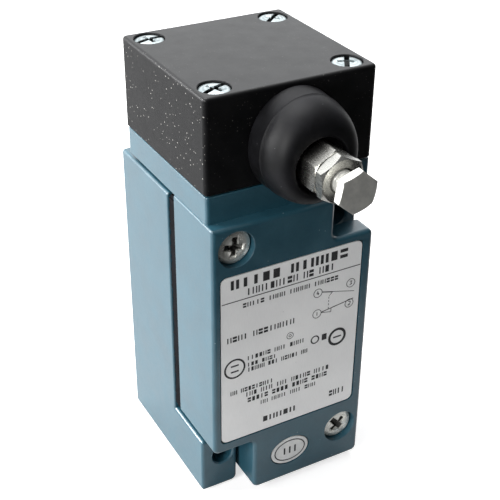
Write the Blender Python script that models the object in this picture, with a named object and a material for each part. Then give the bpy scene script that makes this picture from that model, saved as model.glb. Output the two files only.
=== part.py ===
"""Plug-in limit switch: wiring receptacle, switch unit and side-rotary operating head.

Lengths below are in millimetres and become metres as meshes are made.
X is the width, Y runs from the front to the machine the switch is screwed to, Z is up.
The origin is on the mounting face, midway between the two mounting holes.
A depth is measured forwards from the mounting face, so a point at depth d has y = -d.
"""

from math import cos, pi, radians, sin

import bmesh
import bpy
from mathutils import Matrix

MM = 0.001
CLEARANCE = 0.3        # between pieces that touch or are cut to fit each other
RUNNING = 0.07         # radial, between a shaft and its hole
OVERCUT = 1.0          # how far a cut passes the face it opens

# Receptacle: the wired half that stays on the machine
RECEPTACLE_SETBACK = 0.2   # each side, behind the side of the switch unit
RECEPTACLE_DEPTH = 25.6
RECEPTACLE_WALL = 3.2
RECEPTACLE_FLOOR = 4.0
RECEPTACLE_CORNER = 1.5
MOUNT_PITCH_Z = 59.5   # the mounting holes lie on a diagonal
MOUNT_INSET = 5.6      # hole centre in from the side
MOUNT_HOLE_D = 5.3
EAR_ABOVE_HOLE = 7.55
FOOT_BELOW_HOLE = 9.85
PILLAR_WIDTH = 9.6     # the foot and the ear reach forward round the mounting holes
PILLAR_PAST_HOLE = 5.85
PILLAR_REACH = 14.8
CONDUIT_D = 20.6
CONDUIT_DEPTH = 13.0
THROAT_WIDTH = 20.8    # lower part of the wiring chamber, over the conduit entry
CROWN_WIDTH = 16.0     # upper part of the wiring chamber, beside the ear
CHAMBER_MARGIN = 2.0   # web between the wide part of the chamber and the pillars

# Switch unit: the half that plugs in
UNIT_WIDTH = 41.0
UNIT_DEPTH = 18.9
UNIT_CORNER = 1.5
UNIT_WALL = 2.9
UNIT_SIDE_WALL = 4.3
SPLIT = 3.0            # between the unit and the rim of the receptacle
SHOULDER_RISE = 1.3    # top of the slab over the top of the receptacle
UNIT_BOTTOM_RISE = 2.1
FOOT_SPLIT = 1.5
PILLAR_SPLIT = 0.9
LEDGE_BELOW_HOLE = 1.25
LEDGE_DEPTH = 5.4
CHANNEL_WIDTH = 17.2   # where the contact carrier comes up to the plunger
CHANNEL_ROOF = 5.1
LABEL_LEFT = 2.0
LABEL_RIGHT = 2.8
LABEL_TOP_BELOW_LEDGE = 2.2
LABEL_BOTTOM_ABOVE_NOTCH = 3.0
LABEL_THICKNESS = 0.35
LABEL_SUNK = 0.05
LABEL_CORNER = 1.5
STICKER_WIDTH = 10.4
STICKER_HEIGHT = 7.8
STICKER_CENTRE_X = 0.3
STICKER_RISE = 8.4

# Neck and head
NECK_HEIGHT = 6.35
NECK_SETBACK = 0.2
HEAD_SIZE = 40.8
HEAD_HEIGHT = 21.55
HEAD_CORNER = 2.0
HEAD_SETBACK = 3.0     # front of the head behind the front of the slab
HEAD_WALL = 3.0
HEAD_ROOF = 3.3
HEAD_SIDE_WALL = 9.4
HEAD_REAR_WALL = 5.8
HEAD_CAVITY_CORNER = 2.0
HEAD_SCREW_INSET = 4.7   # in from the side of the head
HEAD_SCREW_TURN = 20.0
HEAD_SCREW_SHANK_D = 4.0
HEAD_SCREW_HEAD_D = 6.4
HEAD_SCREW_HEAD_H = 2.2
HEAD_SCREW_SINK = 0.4
HEAD_SCREW_GRIP = 4.2
SEAL_WIDTH = 1.5
SEAL_THICKNESS = 1.2
SEAL_OFFSET = 0.5
SEAL_GROOVE = 1.1
SEAL_CORNER = 3.0

# Shaft line
SHAFT_RISE = 7.6       # shaft axis over the bottom of the head
JOURNAL_D = 9.0
SPINDLE_D = 6.0
HEX_ACROSS = 9.4
HEX_LENGTH = 6.3
HEX_ANGLE = 29.0
TAIL_PAST_RING = 1.5
TIP_CHAMFER = 0.4
BOSS_D = 15.0
BOSS_REACH = 6.5
BUSHING_D = 12.0
BUSHING_FLANGE_D = 14.4
BUSHING_FLANGE = 1.0
BOOT_BASE_D = 24.8
BOOT_RIM_D = 23.0
BOOT_RIM_REACH = 5.4
BOOT_REACH = 12.0
BOOT_MOUTH_D = 13.6
BOOT_RECESS_D = 12.4
BOOT_RECESS = 2.3
BOOT_MEMBRANE = 1.5
BOOT_LIP_GAP = 0.4
COLLAR_D = 12.0
COLLAR_THICKNESS = 1.2
DOG_LENGTH = 1.2
DOG_SPAN = 30.0
DOG_GAP = 4.0
TOOTH_FROM = -60.0     # degrees clockwise from the top, seen from the front
BOLT_D = 5.0
BOLT_HOLE_DEPTH = 14.0
BOLT_HEAD_ACROSS = 8.0
BOLT_HEAD = 2.1
BOLT_ANGLE = 19.0
BOLT_GAP = 3.5         # room for a lever arm's plate, between nut and bolt head
NUT_ACROSS = 9.5
NUT_THICKNESS = 2.6
NUT_ANGLE = 34.0
RING_D = 8.6
RING_THICKNESS = 0.8
RING_GROOVE = 0.6      # radial depth

# Cam and plunger
CAM_THICKNESS = 6.0
CAM_BASE = 1.9         # base radius of the involute: plunger travel in mm per radian
CAM_REST = 4.6         # axis to the plunger's face at rest, less the clearance
CAM_HUB_D = 8.8
CAM_SWEEP = 75.0
CAM_RUNOUT = 5.0
CAM_FLANK_STEPS = 14
CAM_BACK_FROM = 60.0   # plain back of the lobe, in degrees from +X
CAM_BACK_TO = 270.0
HUB_TAIL = 6.4
RETURN_WIRE = 1.0
RETURN_TURNS = 5
PLUNGER_HEAD_D = 6.0
PLUNGER_HEAD = 1.6
PLUNGER_STEM_D = 3.6
PLUNGER_POCKET_D = 7.6
PLUNGER_POCKET = 5.0
PLUNGER_WIRE = 0.5
PLUNGER_TURNS = 4
PLUNGER_PROUD = 3.5    # foot below the roof of the channel

# Contact block
BLOCK_FIT = 0.4
BLOCK_WALL = 2.4
BLOCK_TOP = 18.8       # over the middle of the receptacle's mounting holes
BLOCK_BOTTOM = -18.1
CHAMBER_WIDTH = 15.2
CHAMBER_FLOOR = -12.5
CARRIER_WIDTH = 5.2
CARRIER_DEPTH = 7.0
CARRIER_FOOT = -11.0
CARRIER_SHOULDER = 12.0
CARRIER_STEM = 4.4
GUIDE_FLOOR = -17.0
BRIDGE_LENGTH = 12.4
BRIDGE_WIDTH = 3.0
BRIDGE_THICKNESS = 0.8
BUTTON_D = 2.0
BUTTON_HEIGHT = 0.6
CARRIER_WIRE = 0.5
CARRIER_TURNS = 4
BLADE_X = 4.4
BLADE_Z = 9.0
BLADE_WIDTH = 6.0
BLADE_THICKNESS = 0.8
BLADE_PAST_CARRIER = 2.5   # nose in front of the middle of the carrier

# Terminal block and its fittings
TERMINAL_BLOCK_WIDTH = 31.0
TERMINAL_BLOCK_HEIGHT = 40.0
TERMINAL_BLOCK_DEPTH = 10.0
POCKET_INNER_X = 2.2
POCKET_HEIGHT = 8.4
POCKET_DEPTH = 4.0
CLIP_THICKNESS = 1.0
CLIP_LEAF = 0.8
CLIP_LEAF_REACH = 5.7
CLIP_OUTER_X = 14.3
TERMINAL_SCREW_X = 11.0
TERMINAL_SCREW_D = 3.0
TERMINAL_HEAD_D = 6.0
TERMINAL_HEAD = 2.0
TERMINAL_SHANK = 6.0
BLOCK_SCREW_Z = 16.8
BLOCK_SCREW_HEAD_D = 5.0
BLOCK_SCREW_SEAT = 4.0
BLOCK_SCREW_BITE = 1.9
GROUND_SCREW_Z = 27.0

# Captive screws that hold the unit in the receptacle
CAPTIVE_INSET_X = 5.8
CAPTIVE_BELOW_SHOULDER = 5.8
CAPTIVE_ABOVE_BOTTOM = 10.1
CAPTIVE_HEAD_D = 7.8
CAPTIVE_HEAD = 2.6
CAPTIVE_SHANK_D = 4.0
CAPTIVE_BORE_D = 9.0
CAPTIVE_SEAT = 3.6
CAPTIVE_THREAD = 7.0
RETAINER_D = 7.0
RETAINER_THICKNESS = 0.7
CAPTIVE_UPPER_TURN = 82.0
CAPTIVE_LOWER_TURN = -48.0
SLOT_WIDTH = 1.2
SLOT_DEPTH = 1.0

# Shape of every pan-head screw, as shares of its radius or height
SCREW_EDGE = 0.55
SCREW_CROWN = 0.72
SCREW_TIP = 0.3
CROSS_ARM = 0.55

GASKET_INSET = 1.2

# Places that follow from the sizes above
HALF_UNIT = UNIT_WIDTH / 2
HALF_RECEPTACLE = HALF_UNIT - RECEPTACLE_SETBACK
HALF_HEAD = HEAD_SIZE / 2
HOLE_Z = MOUNT_PITCH_Z / 2
HOLE_X = HALF_RECEPTACLE - MOUNT_INSET
RECEPTACLE_TOP = HOLE_Z + EAR_ABOVE_HOLE
RECEPTACLE_BOTTOM = -HOLE_Z - FOOT_BELOW_HOLE
PILLAR_X = HALF_RECEPTACLE - PILLAR_WIDTH
PILLAR_EDGE_Z = HOLE_Z - PILLAR_PAST_HOLE
PILLAR_FRONT = RECEPTACLE_DEPTH + PILLAR_REACH
UNIT_BACK = RECEPTACLE_DEPTH + SPLIT
UNIT_FRONT = UNIT_BACK + UNIT_DEPTH
SHOULDER_Z = RECEPTACLE_TOP + SHOULDER_RISE
UNIT_BOTTOM = RECEPTACLE_BOTTOM + UNIT_BOTTOM_RISE
NOTCH_X = PILLAR_X - PILLAR_SPLIT
NOTCH_TOP = -PILLAR_EDGE_Z + FOOT_SPLIT
LEDGE_Z = HOLE_Z - LEDGE_BELOW_HOLE
NECK_TOP = SHOULDER_Z + NECK_HEIGHT
HEAD_BOTTOM = NECK_TOP + CLEARANCE
HEAD_TOP = HEAD_BOTTOM + HEAD_HEIGHT
HEAD_FRONT = UNIT_FRONT - HEAD_SETBACK
HEAD_MIDDLE = HEAD_FRONT - HALF_HEAD
HEAD_CAVITY_FRONT = HEAD_FRONT - HEAD_WALL
HEAD_CAVITY_BACK = HEAD_FRONT - HEAD_SIZE + HEAD_REAR_WALL
HALF_HEAD_CAVITY = HALF_HEAD - HEAD_SIDE_WALL
SHAFT_Z = HEAD_BOTTOM + SHAFT_RISE
BOSS_FRONT = HEAD_FRONT + BOSS_REACH
BOOT_BACK = HEAD_FRONT + CLEARANCE
BOOT_FRONT = HEAD_FRONT + BOOT_REACH
BOOT_FLOOR = BOOT_FRONT - BOOT_RECESS
HEX_BACK = BOOT_FLOOR + CLEARANCE
HEX_FRONT = HEX_BACK + HEX_LENGTH
NUT_BACK = HEX_FRONT + CLEARANCE
NUT_FRONT = NUT_BACK + NUT_THICKNESS
BOLT_HEAD_BACK = NUT_FRONT + BOLT_GAP
COLLAR_FRONT = HEAD_CAVITY_FRONT - CLEARANCE
COLLAR_BACK = COLLAR_FRONT - COLLAR_THICKNESS
CAM_FRONT = COLLAR_BACK - DOG_LENGTH - CLEARANCE
CAM_BACK = CAM_FRONT - CAM_THICKNESS
CAM_MIDDLE = CAM_FRONT - CAM_THICKNESS / 2
HUB_BACK = CAM_BACK - HUB_TAIL
RING_BACK = HUB_BACK - CLEARANCE - RING_THICKNESS
PLUNGER_TOP = SHAFT_Z - CAM_REST - CLEARANCE
PLUNGER_TRAVEL = CAM_BASE * radians(CAM_SWEEP)
CHANNEL_TOP = SHOULDER_Z - CHANNEL_ROOF
PLUNGER_FOOT = CHANNEL_TOP - PLUNGER_PROUD
CARRIER_TOP = PLUNGER_FOOT - CLEARANCE
BLOCK_FRONT = UNIT_FRONT - UNIT_WALL - BLOCK_FIT
BLOCK_BACK = UNIT_BACK + BLOCK_FIT
HALF_BLOCK = HALF_UNIT - UNIT_SIDE_WALL - BLOCK_FIT
TERMINAL_BACK = RECEPTACLE_WALL + CLEARANCE
TERMINAL_FRONT = TERMINAL_BACK + TERMINAL_BLOCK_DEPTH
POCKET_FLOOR = TERMINAL_FRONT - POCKET_DEPTH
CLIP_BACK = POCKET_FLOOR + CLEARANCE
CLIP_FACE = CLIP_BACK + CLIP_THICKNESS
CAPTIVE_UPPER = (-HALF_UNIT + CAPTIVE_INSET_X, SHOULDER_Z - CAPTIVE_BELOW_SHOULDER)
CAPTIVE_LOWER = (HALF_UNIT - CAPTIVE_INSET_X, UNIT_BOTTOM + CAPTIVE_ABOVE_BOTTOM)
CAPTIVE_SEAT_DEPTH = UNIT_FRONT - CAPTIVE_SEAT
NC_EDGE_Z = BLADE_Z - BLADE_WIDTH / 2
NO_EDGE_Z = -BLADE_Z + BLADE_WIDTH / 2

FINE = 48
MEDIUM = 32
COARSE = 16

for stale in list(bpy.data.objects):
    bpy.data.objects.remove(stale, do_unlink=True)


# Outlines, as lists of points that run anticlockwise

def arc(centre_u, centre_v, radius, start, end, steps):
    """Points on an arc, angles in degrees from +u towards +v."""
    points = []
    for step in range(steps + 1):
        angle = radians(start + (end - start) * step / steps)
        points.append((centre_u + radius * cos(angle), centre_v + radius * sin(angle)))
    return points


def circle(radius, steps, centre_u=0.0, centre_v=0.0, start=0.0):
    return arc(centre_u, centre_v, radius, start, start + 360.0, steps)[:-1]


def rectangle(u0, u1, v0, v1):
    return [(u0, v0), (u1, v0), (u1, v1), (u0, v1)]


def rounded(corners, radius, steps=4):
    """The outline with each of its right-angled corners rounded, inner corners too."""
    points = []
    count = len(corners)
    for index, (u, v) in enumerate(corners):
        last_u, last_v = corners[index - 1]
        next_u, next_v = corners[(index + 1) % count]
        in_u = (u > last_u) - (u < last_u)
        in_v = (v > last_v) - (v < last_v)
        out_u = (next_u > u) - (next_u < u)
        out_v = (next_v > v) - (next_v < v)
        for step in range(steps + 1):
            angle = pi / 2 * step / steps
            along_in = radius * (1 - sin(angle))
            along_out = radius * (1 - cos(angle))
            points.append((u - in_u * along_in + out_u * along_out,
                           v - in_v * along_in + out_v * along_out))
    return points


def hexagon(across_flats, turn):
    return circle(across_flats / 2 / cos(pi / 6), 6, start=turn)


# Solids, made around the local origin in metres

def mesh_from(points, faces):
    mesh = bpy.data.meshes.new("shape")
    mesh.from_pydata([tuple(value * MM for value in point) for point in points], [], faces)
    shape = bmesh.new()
    shape.from_mesh(mesh)
    bmesh.ops.recalc_face_normals(shape, faces=shape.faces)
    shape.to_mesh(mesh)
    shape.free()
    return mesh


def prism(outline, axis, low, high):
    """Outline pushed along an axis. For Y the outline is (x, z) and low and high are depths."""
    count = len(outline)
    points = []
    for level in (low, high):
        for u, v in outline:
            if axis == "X":
                points.append((level, u, v))
            elif axis == "Y":
                points.append((u, -level, v))
            else:
                points.append((u, v, level))
    faces = [list(range(count)), list(range(count, 2 * count))]
    for index in range(count):
        following = (index + 1) % count
        faces.append([index, following, count + following, count + index])
    return mesh_from(points, faces)


def turned(profile, steps):
    """Profile of (radius, height) points turned about local Z, closed at both ends by the axis."""
    points = []
    rows = []
    for radius, height in profile:
        if radius == 0:
            rows.append([len(points)] * steps)
            points.append((0.0, 0.0, height))
            continue
        rows.append([len(points) + step for step in range(steps)])
        for step in range(steps):
            angle = 2 * pi * step / steps
            points.append((radius * cos(angle), radius * sin(angle), height))
    faces = []
    for lower, upper in zip(rows, rows[1:]):
        for step in range(steps):
            following = (step + 1) % steps
            face = []
            for corner in (lower[step], lower[following], upper[following], upper[step]):
                if corner not in face:
                    face.append(corner)
            faces.append(face)
    return mesh_from(points, faces)


def tube(outer_profile, bore_radius, steps):
    """A turned piece with a plain bore: the profile runs up the outside."""
    bottom = outer_profile[0][1]
    top = outer_profile[-1][1]
    return turned_loop(list(outer_profile) + [(bore_radius, top), (bore_radius, bottom)], steps)


def turned_loop(loop, steps):
    """A closed loop of (radius, height) points, clear of the axis, turned about local Z."""
    count = len(loop)
    points = []
    for radius, height in loop:
        for step in range(steps):
            angle = 2 * pi * step / steps
            points.append((radius * cos(angle), radius * sin(angle), height))
    faces = []
    for row in range(count):
        above = (row + 1) % count
        for step in range(steps):
            following = (step + 1) % steps
            faces.append([row * steps + step, row * steps + following,
                          above * steps + following, above * steps + step])
    return mesh_from(points, faces)


def coil(radius, wire, turns, length, per_turn=12, sides=6):
    """Round wire wound about local Z from height 0 to length, ends closed."""
    rings = turns * per_turn + 1
    pitch = (length - wire) / turns
    points = []
    for ring in range(rings):
        turn = 2 * pi * ring / per_turn
        middle = wire / 2 + pitch * ring / per_turn
        for side in range(sides):
            around = 2 * pi * side / sides
            reach = radius + wire / 2 * cos(around)
            points.append((reach * cos(turn), reach * sin(turn), middle + wire / 2 * sin(around)))
    faces = [list(range(sides)), list(range((rings - 1) * sides, rings * sides))]
    for ring in range(rings - 1):
        for side in range(sides):
            following = (side + 1) % sides
            start = ring * sides
            faces.append([start + side, start + following,
                          start + sides + following, start + sides + side])
    return mesh_from(points, faces)


def combined(mesh, joined=(), removed=()):
    """The mesh with other meshes joined to it and then others cut from it."""
    body = bpy.data.objects.new("body", mesh)
    bpy.context.scene.collection.objects.link(body)
    tools = []
    for operation, shapes in (("UNION", joined), ("DIFFERENCE", removed)):
        for shape in shapes:
            tool = bpy.data.objects.new("tool", shape)
            bpy.context.scene.collection.objects.link(tool)
            tool.hide_render = True
            tool.display_type = "WIRE"
            tools.append(tool)
            change = body.modifiers.new(operation.lower(), "BOOLEAN")
            change.operation = operation
            change.solver = "EXACT"
            change.object = tool
    bpy.context.view_layer.update()
    graph = bpy.context.evaluated_depsgraph_get()
    result = bpy.data.meshes.new_from_object(body.evaluated_get(graph))
    for spent in [body] + tools:
        bpy.data.objects.remove(spent, do_unlink=True)
    return result


# Finishes

def finish(name, colour, roughness, metallic=0.0):
    material = bpy.data.materials.new(name)
    material.use_nodes = True
    shader = material.node_tree.nodes["Principled BSDF"]
    shader.inputs["Base Color"].default_value = (*colour, 1.0)
    shader.inputs["Roughness"].default_value = roughness
    shader.inputs["Metallic"].default_value = metallic
    material.diffuse_color = (*colour, 1.0)
    return material


COLOURS = {
    "blue_enamel": ((0.10, 0.22, 0.30), 0.40, 0.0),
    "black_epoxy": ((0.02, 0.02, 0.022), 0.45, 0.0),
    "rubber": ((0.012, 0.012, 0.014), 0.55, 0.0),
    "zinc": ((0.72, 0.76, 0.80), 0.28, 1.0),
    "nickel": ((0.66, 0.63, 0.58), 0.22, 1.0),
    "stainless": ((0.55, 0.53, 0.50), 0.32, 1.0),
    "bronze": ((0.50, 0.33, 0.14), 0.40, 1.0),
    "brass": ((0.72, 0.53, 0.22), 0.30, 1.0),
    "spring_steel": ((0.30, 0.30, 0.31), 0.35, 1.0),
    "moulding": ((0.05, 0.035, 0.03), 0.50, 0.0),
    "acetal": ((0.75, 0.72, 0.64), 0.45, 0.0),
    "foil": ((0.62, 0.62, 0.62), 0.38, 0.6),
    "paper": ((0.80, 0.80, 0.80), 0.50, 0.0),
}

FRONTWARD = (radians(90), 0.0, 0.0)   # turns local Z to face the front


def frame(name, location, parent=None):
    """An empty that a moving group hangs on."""
    empty = bpy.data.objects.new(name, None)
    bpy.context.scene.collection.objects.link(empty)
    empty.location = [value * MM for value in location]
    empty.parent = parent
    return empty


def piece(name, mesh, kind, parent, location=(0.0, 0.0, 0.0), rotation=(0.0, 0.0, 0.0)):
    part = bpy.data.objects.new(name, mesh)
    bpy.context.scene.collection.objects.link(part)
    part.parent = parent
    part.location = [value * MM for value in location]
    part.rotation_euler = rotation
    mesh.name = name
    mesh.shade_smooth()
    mesh.set_sharp_from_angle(angle=radians(35))
    mesh.materials.clear()
    mesh.materials.append(finish(name, *COLOURS[kind]))
    return part


def screw_mesh(head_d, head, shank_d, shank, cross=False, steps=COARSE):
    """Pan-head screw: local Z points out of the head, and the head seats at height 0."""
    head_r = head_d / 2
    shank_r = shank_d / 2
    tip = shank_r * SCREW_TIP
    body = turned([(0, -shank), (shank_r - tip, -shank), (shank_r, -shank + tip), (shank_r, 0),
                   (head_r, 0), (head_r, head * SCREW_EDGE), (head_r * SCREW_CROWN, head),
                   (0, head)], steps)
    half_slot = SLOT_WIDTH / 2
    if cross:
        arm = head_r * CROSS_ARM
        slot = [(-half_slot, -arm), (half_slot, -arm), (half_slot, -half_slot), (arm, -half_slot),
                (arm, half_slot), (half_slot, half_slot), (half_slot, arm), (-half_slot, arm),
                (-half_slot, half_slot), (-arm, half_slot), (-arm, -half_slot),
                (-half_slot, -half_slot)]
    else:
        reach = head_r + OVERCUT
        slot = rectangle(-reach, reach, -half_slot, half_slot)
    cutter = prism(slot, "Z", head - SLOT_DEPTH, head + OVERCUT)
    return combined(body, removed=[cutter])


def drill(x, z, diameter, low, high, steps=MEDIUM):
    """A hole along Y between two depths."""
    return prism(circle(diameter / 2, steps, x, z), "Y", low, high)


def upright(x, depth, diameter, low, high, steps=MEDIUM):
    """A hole along Z."""
    return prism(circle(diameter / 2, steps, x, -depth), "Z", low, high)


receptacle_frame = frame("receptacle_frame", (0, 0, 0))
unit_frame = frame("switch_unit_frame", (0, 0, 0), receptacle_frame)
cam_axis = frame("cam_axis", (0, -CAM_MIDDLE, SHAFT_Z), unit_frame)
shaft_axis = frame("shaft_axis", (0, 0, 0), cam_axis)
plunger_axis = frame("plunger_axis", (0, -CAM_MIDDLE, PLUNGER_TOP), unit_frame)
carrier_axis = frame("carrier_axis", (0, -CAM_MIDDLE, CARRIER_TOP), unit_frame)


def along_shaft(depth):
    """Place of a depth on the shaft axis, seen from the frames on that axis."""
    return (0, CAM_MIDDLE - depth, 0)


# Receptacle

def chamber_outline(inset=0.0):
    """Front opening of the wiring chamber: narrow at the crown and throat, wide between them."""
    wide = HALF_RECEPTACLE - RECEPTACLE_WALL - inset
    crown = CROWN_WIDTH / 2 - inset
    throat = THROAT_WIDTH / 2 - inset
    edge = PILLAR_EDGE_Z - CHAMBER_MARGIN - inset
    top = RECEPTACLE_TOP - RECEPTACLE_WALL - inset
    bottom = RECEPTACLE_BOTTOM + RECEPTACLE_FLOOR + inset
    return [(-throat, bottom), (throat, bottom), (throat, -edge), (wide, -edge),
            (wide, edge), (crown, edge), (crown, top), (-crown, top),
            (-crown, edge), (-wide, edge), (-wide, -edge), (-throat, -edge)]


def receptacle():
    block = prism(rounded(rectangle(-HALF_RECEPTACLE, HALF_RECEPTACLE,
                                    RECEPTACLE_BOTTOM, RECEPTACLE_TOP), RECEPTACLE_CORNER),
                  "Y", 0, RECEPTACLE_DEPTH)
    root = RECEPTACLE_DEPTH - RECEPTACLE_CORNER
    foot = prism(rounded(rectangle(-HALF_RECEPTACLE, -PILLAR_X,
                                   RECEPTACLE_BOTTOM, -PILLAR_EDGE_Z), RECEPTACLE_CORNER),
                 "Y", root, PILLAR_FRONT)
    ear = prism(rounded(rectangle(PILLAR_X, HALF_RECEPTACLE,
                                  PILLAR_EDGE_Z, RECEPTACLE_TOP), RECEPTACLE_CORNER),
                "Y", root, PILLAR_FRONT)
    cuts = [prism(rounded(chamber_outline(), RECEPTACLE_CORNER, 3), "Y",
                  RECEPTACLE_WALL, RECEPTACLE_DEPTH + OVERCUT),
            upright(0, CONDUIT_DEPTH, CONDUIT_D, RECEPTACLE_BOTTOM - OVERCUT,
                    RECEPTACLE_BOTTOM + RECEPTACLE_FLOOR + OVERCUT, FINE),
            drill(-HOLE_X, -HOLE_Z, MOUNT_HOLE_D, -OVERCUT, PILLAR_FRONT + OVERCUT),
            drill(HOLE_X, HOLE_Z, MOUNT_HOLE_D, -OVERCUT, PILLAR_FRONT + OVERCUT)]
    for x, z in (CAPTIVE_UPPER, CAPTIVE_LOWER):
        cuts.append(drill(x, z, CAPTIVE_SHANK_D + 2 * CLEARANCE,
                          RECEPTACLE_DEPTH - CAPTIVE_THREAD - 2 * CLEARANCE,
                          RECEPTACLE_DEPTH + OVERCUT, COARSE))
    bite = RECEPTACLE_WALL - BLOCK_SCREW_BITE - CLEARANCE
    for z in (BLOCK_SCREW_Z, -BLOCK_SCREW_Z, GROUND_SCREW_Z):
        cuts.append(drill(0, z, TERMINAL_SCREW_D + 2 * CLEARANCE, bite,
                          RECEPTACLE_WALL + OVERCUT, COARSE))
    piece("receptacle_casting", combined(block, [foot, ear], cuts), "blue_enamel",
          receptacle_frame)


def body_gasket():
    side = HALF_RECEPTACLE - GASKET_INSET
    top = RECEPTACLE_TOP - GASKET_INSET
    bottom = UNIT_BOTTOM + GASKET_INSET
    edge = PILLAR_EDGE_Z - FOOT_SPLIT
    notch = NOTCH_X - CLEARANCE
    outline = [(-side, -edge), (-notch, -edge), (-notch, bottom), (side, bottom),
               (side, edge), (notch, edge), (notch, top), (-side, top)]
    cuts = [prism(chamber_outline(-CLEARANCE), "Y", RECEPTACLE_DEPTH - OVERCUT,
                  UNIT_BACK + OVERCUT)]
    for x, z in (CAPTIVE_UPPER, CAPTIVE_LOWER):
        cuts.append(drill(x, z, RETAINER_D + 2 * CLEARANCE, RECEPTACLE_DEPTH, UNIT_BACK, COARSE))
    sheet = prism(outline, "Y", RECEPTACLE_DEPTH + CLEARANCE, UNIT_BACK - CLEARANCE)
    piece("body_gasket", combined(sheet, removed=cuts), "rubber", receptacle_frame)


def terminal_places():
    """Name ending, side and height of each of the four terminals."""
    return [("1", -1, BLADE_Z), ("2", 1, BLADE_Z), ("3", -1, -BLADE_Z), ("4", 1, -BLADE_Z)]


def terminal_block():
    half = TERMINAL_BLOCK_WIDTH / 2
    tall = TERMINAL_BLOCK_HEIGHT / 2
    slab = prism(rectangle(-half, half, -tall, tall), "Y", TERMINAL_BACK, TERMINAL_FRONT)
    cuts = []
    for _, side, z in terminal_places():
        edges = sorted((side * POCKET_INNER_X, side * (half + OVERCUT)))
        cuts.append(prism(rectangle(edges[0], edges[1], z - POCKET_HEIGHT / 2,
                                    z + POCKET_HEIGHT / 2), "Y",
                          POCKET_FLOOR, TERMINAL_FRONT + OVERCUT))
        cuts.append(drill(side * TERMINAL_SCREW_X, z, TERMINAL_SCREW_D + 2 * CLEARANCE,
                          CLIP_FACE - TERMINAL_SHANK, POCKET_FLOOR + OVERCUT, COARSE))
    for z in (BLOCK_SCREW_Z, -BLOCK_SCREW_Z):
        cuts.append(drill(0, z, BLOCK_SCREW_HEAD_D + 2 * CLEARANCE, TERMINAL_BACK + BLOCK_SCREW_SEAT,
                          TERMINAL_FRONT + OVERCUT, COARSE))
        cuts.append(drill(0, z, TERMINAL_SCREW_D + 2 * CLEARANCE, TERMINAL_BACK - OVERCUT,
                          TERMINAL_FRONT, COARSE))
    piece("terminal_block", combined(slab, removed=cuts), "moulding", receptacle_frame)


def terminal_clip_mesh():
    """Plate with two leaves that grip a plug blade, right-hand side, at height 0."""
    near = BLADE_X - BLADE_THICKNESS / 2 - CLEARANCE
    far = BLADE_X + BLADE_THICKNESS / 2 + CLEARANCE
    inner = POCKET_INNER_X + CLEARANCE
    tip = CLIP_FACE + CLIP_LEAF_REACH
    outline = [(inner, -CLIP_BACK), (CLIP_OUTER_X, -CLIP_BACK), (CLIP_OUTER_X, -CLIP_FACE),
               (far + CLIP_LEAF, -CLIP_FACE), (far + CLIP_LEAF, -tip), (far, -tip),
               (far, -CLIP_FACE), (near, -CLIP_FACE), (near, -tip), (near - CLIP_LEAF, -tip),
               (near - CLIP_LEAF, -CLIP_FACE), (inner, -CLIP_FACE)]
    half = POCKET_HEIGHT / 2 - CLEARANCE
    plate = prism(outline, "Z", -half, half)
    hole = drill(TERMINAL_SCREW_X, 0, TERMINAL_SCREW_D + 2 * CLEARANCE,
                 CLIP_BACK - OVERCUT, CLIP_FACE + OVERCUT, COARSE)
    return combined(plate, removed=[hole])


def terminals():
    right = terminal_clip_mesh()
    left = right.copy()
    left.transform(Matrix.Scale(-1, 4, (1, 0, 0)))
    left.flip_normals()
    screw = screw_mesh(TERMINAL_HEAD_D, TERMINAL_HEAD, TERMINAL_SCREW_D,
                       TERMINAL_SHANK - 2 * CLEARANCE)
    for name, side, z in terminal_places():
        clip = (left if side < 0 else right).copy()
        piece("terminal_clip_" + name, clip, "brass", receptacle_frame, (0, 0, z))
        piece("terminal_screw_" + name, screw.copy(), "nickel", receptacle_frame,
              (side * TERMINAL_SCREW_X, -CLIP_FACE - CLEARANCE, z), FRONTWARD)


def chamber_screws():
    holder = screw_mesh(BLOCK_SCREW_HEAD_D, TERMINAL_HEAD, TERMINAL_SCREW_D,
                        BLOCK_SCREW_SEAT + 2 * CLEARANCE + BLOCK_SCREW_BITE)
    for name, z in (("upper", BLOCK_SCREW_Z), ("lower", -BLOCK_SCREW_Z)):
        piece("block_screw_" + name, holder.copy(), "nickel", receptacle_frame,
              (0, -TERMINAL_BACK - BLOCK_SCREW_SEAT - CLEARANCE, z), FRONTWARD)
    ground = screw_mesh(TERMINAL_HEAD_D, TERMINAL_HEAD, TERMINAL_SCREW_D,
                        BLOCK_SCREW_BITE + CLEARANCE)
    piece("ground_screw", ground, "brass", receptacle_frame,
          (0, -RECEPTACLE_WALL - CLEARANCE, GROUND_SCREW_Z), FRONTWARD)


# Switch unit

def unit_outline():
    return [(-HALF_UNIT, NOTCH_TOP), (-NOTCH_X, NOTCH_TOP), (-NOTCH_X, UNIT_BOTTOM),
            (HALF_UNIT, UNIT_BOTTOM), (HALF_UNIT, LEDGE_Z), (NOTCH_X, LEDGE_Z),
            (NOTCH_X, SHOULDER_Z), (-HALF_UNIT, SHOULDER_Z)]


def label_box(grow=0.0):
    return rectangle(-HALF_UNIT + LABEL_LEFT - grow, HALF_UNIT - LABEL_RIGHT + grow,
                     NOTCH_TOP + LABEL_BOTTOM_ABOVE_NOTCH - grow,
                     LEDGE_Z - LABEL_TOP_BELOW_LEDGE + grow)


def oval(width, height, steps):
    centre_z = UNIT_BOTTOM + STICKER_RISE
    return [(STICKER_CENTRE_X + u * width / 2, centre_z + v * height / 2)
            for u, v in circle(1.0, steps)]


def seal_outlines(grow):
    """Outer and inner edges of the seal round the head's cavity, as (x, y) outlines."""
    edges = []
    for offset in (SEAL_OFFSET + SEAL_WIDTH + grow, SEAL_OFFSET - grow):
        half = HALF_HEAD_CAVITY + offset
        front = HEAD_CAVITY_FRONT + offset
        back = HEAD_CAVITY_BACK - offset
        edges.append(rounded(rectangle(-half, half, -front, -back), SEAL_CORNER, 3))
    return edges


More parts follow.
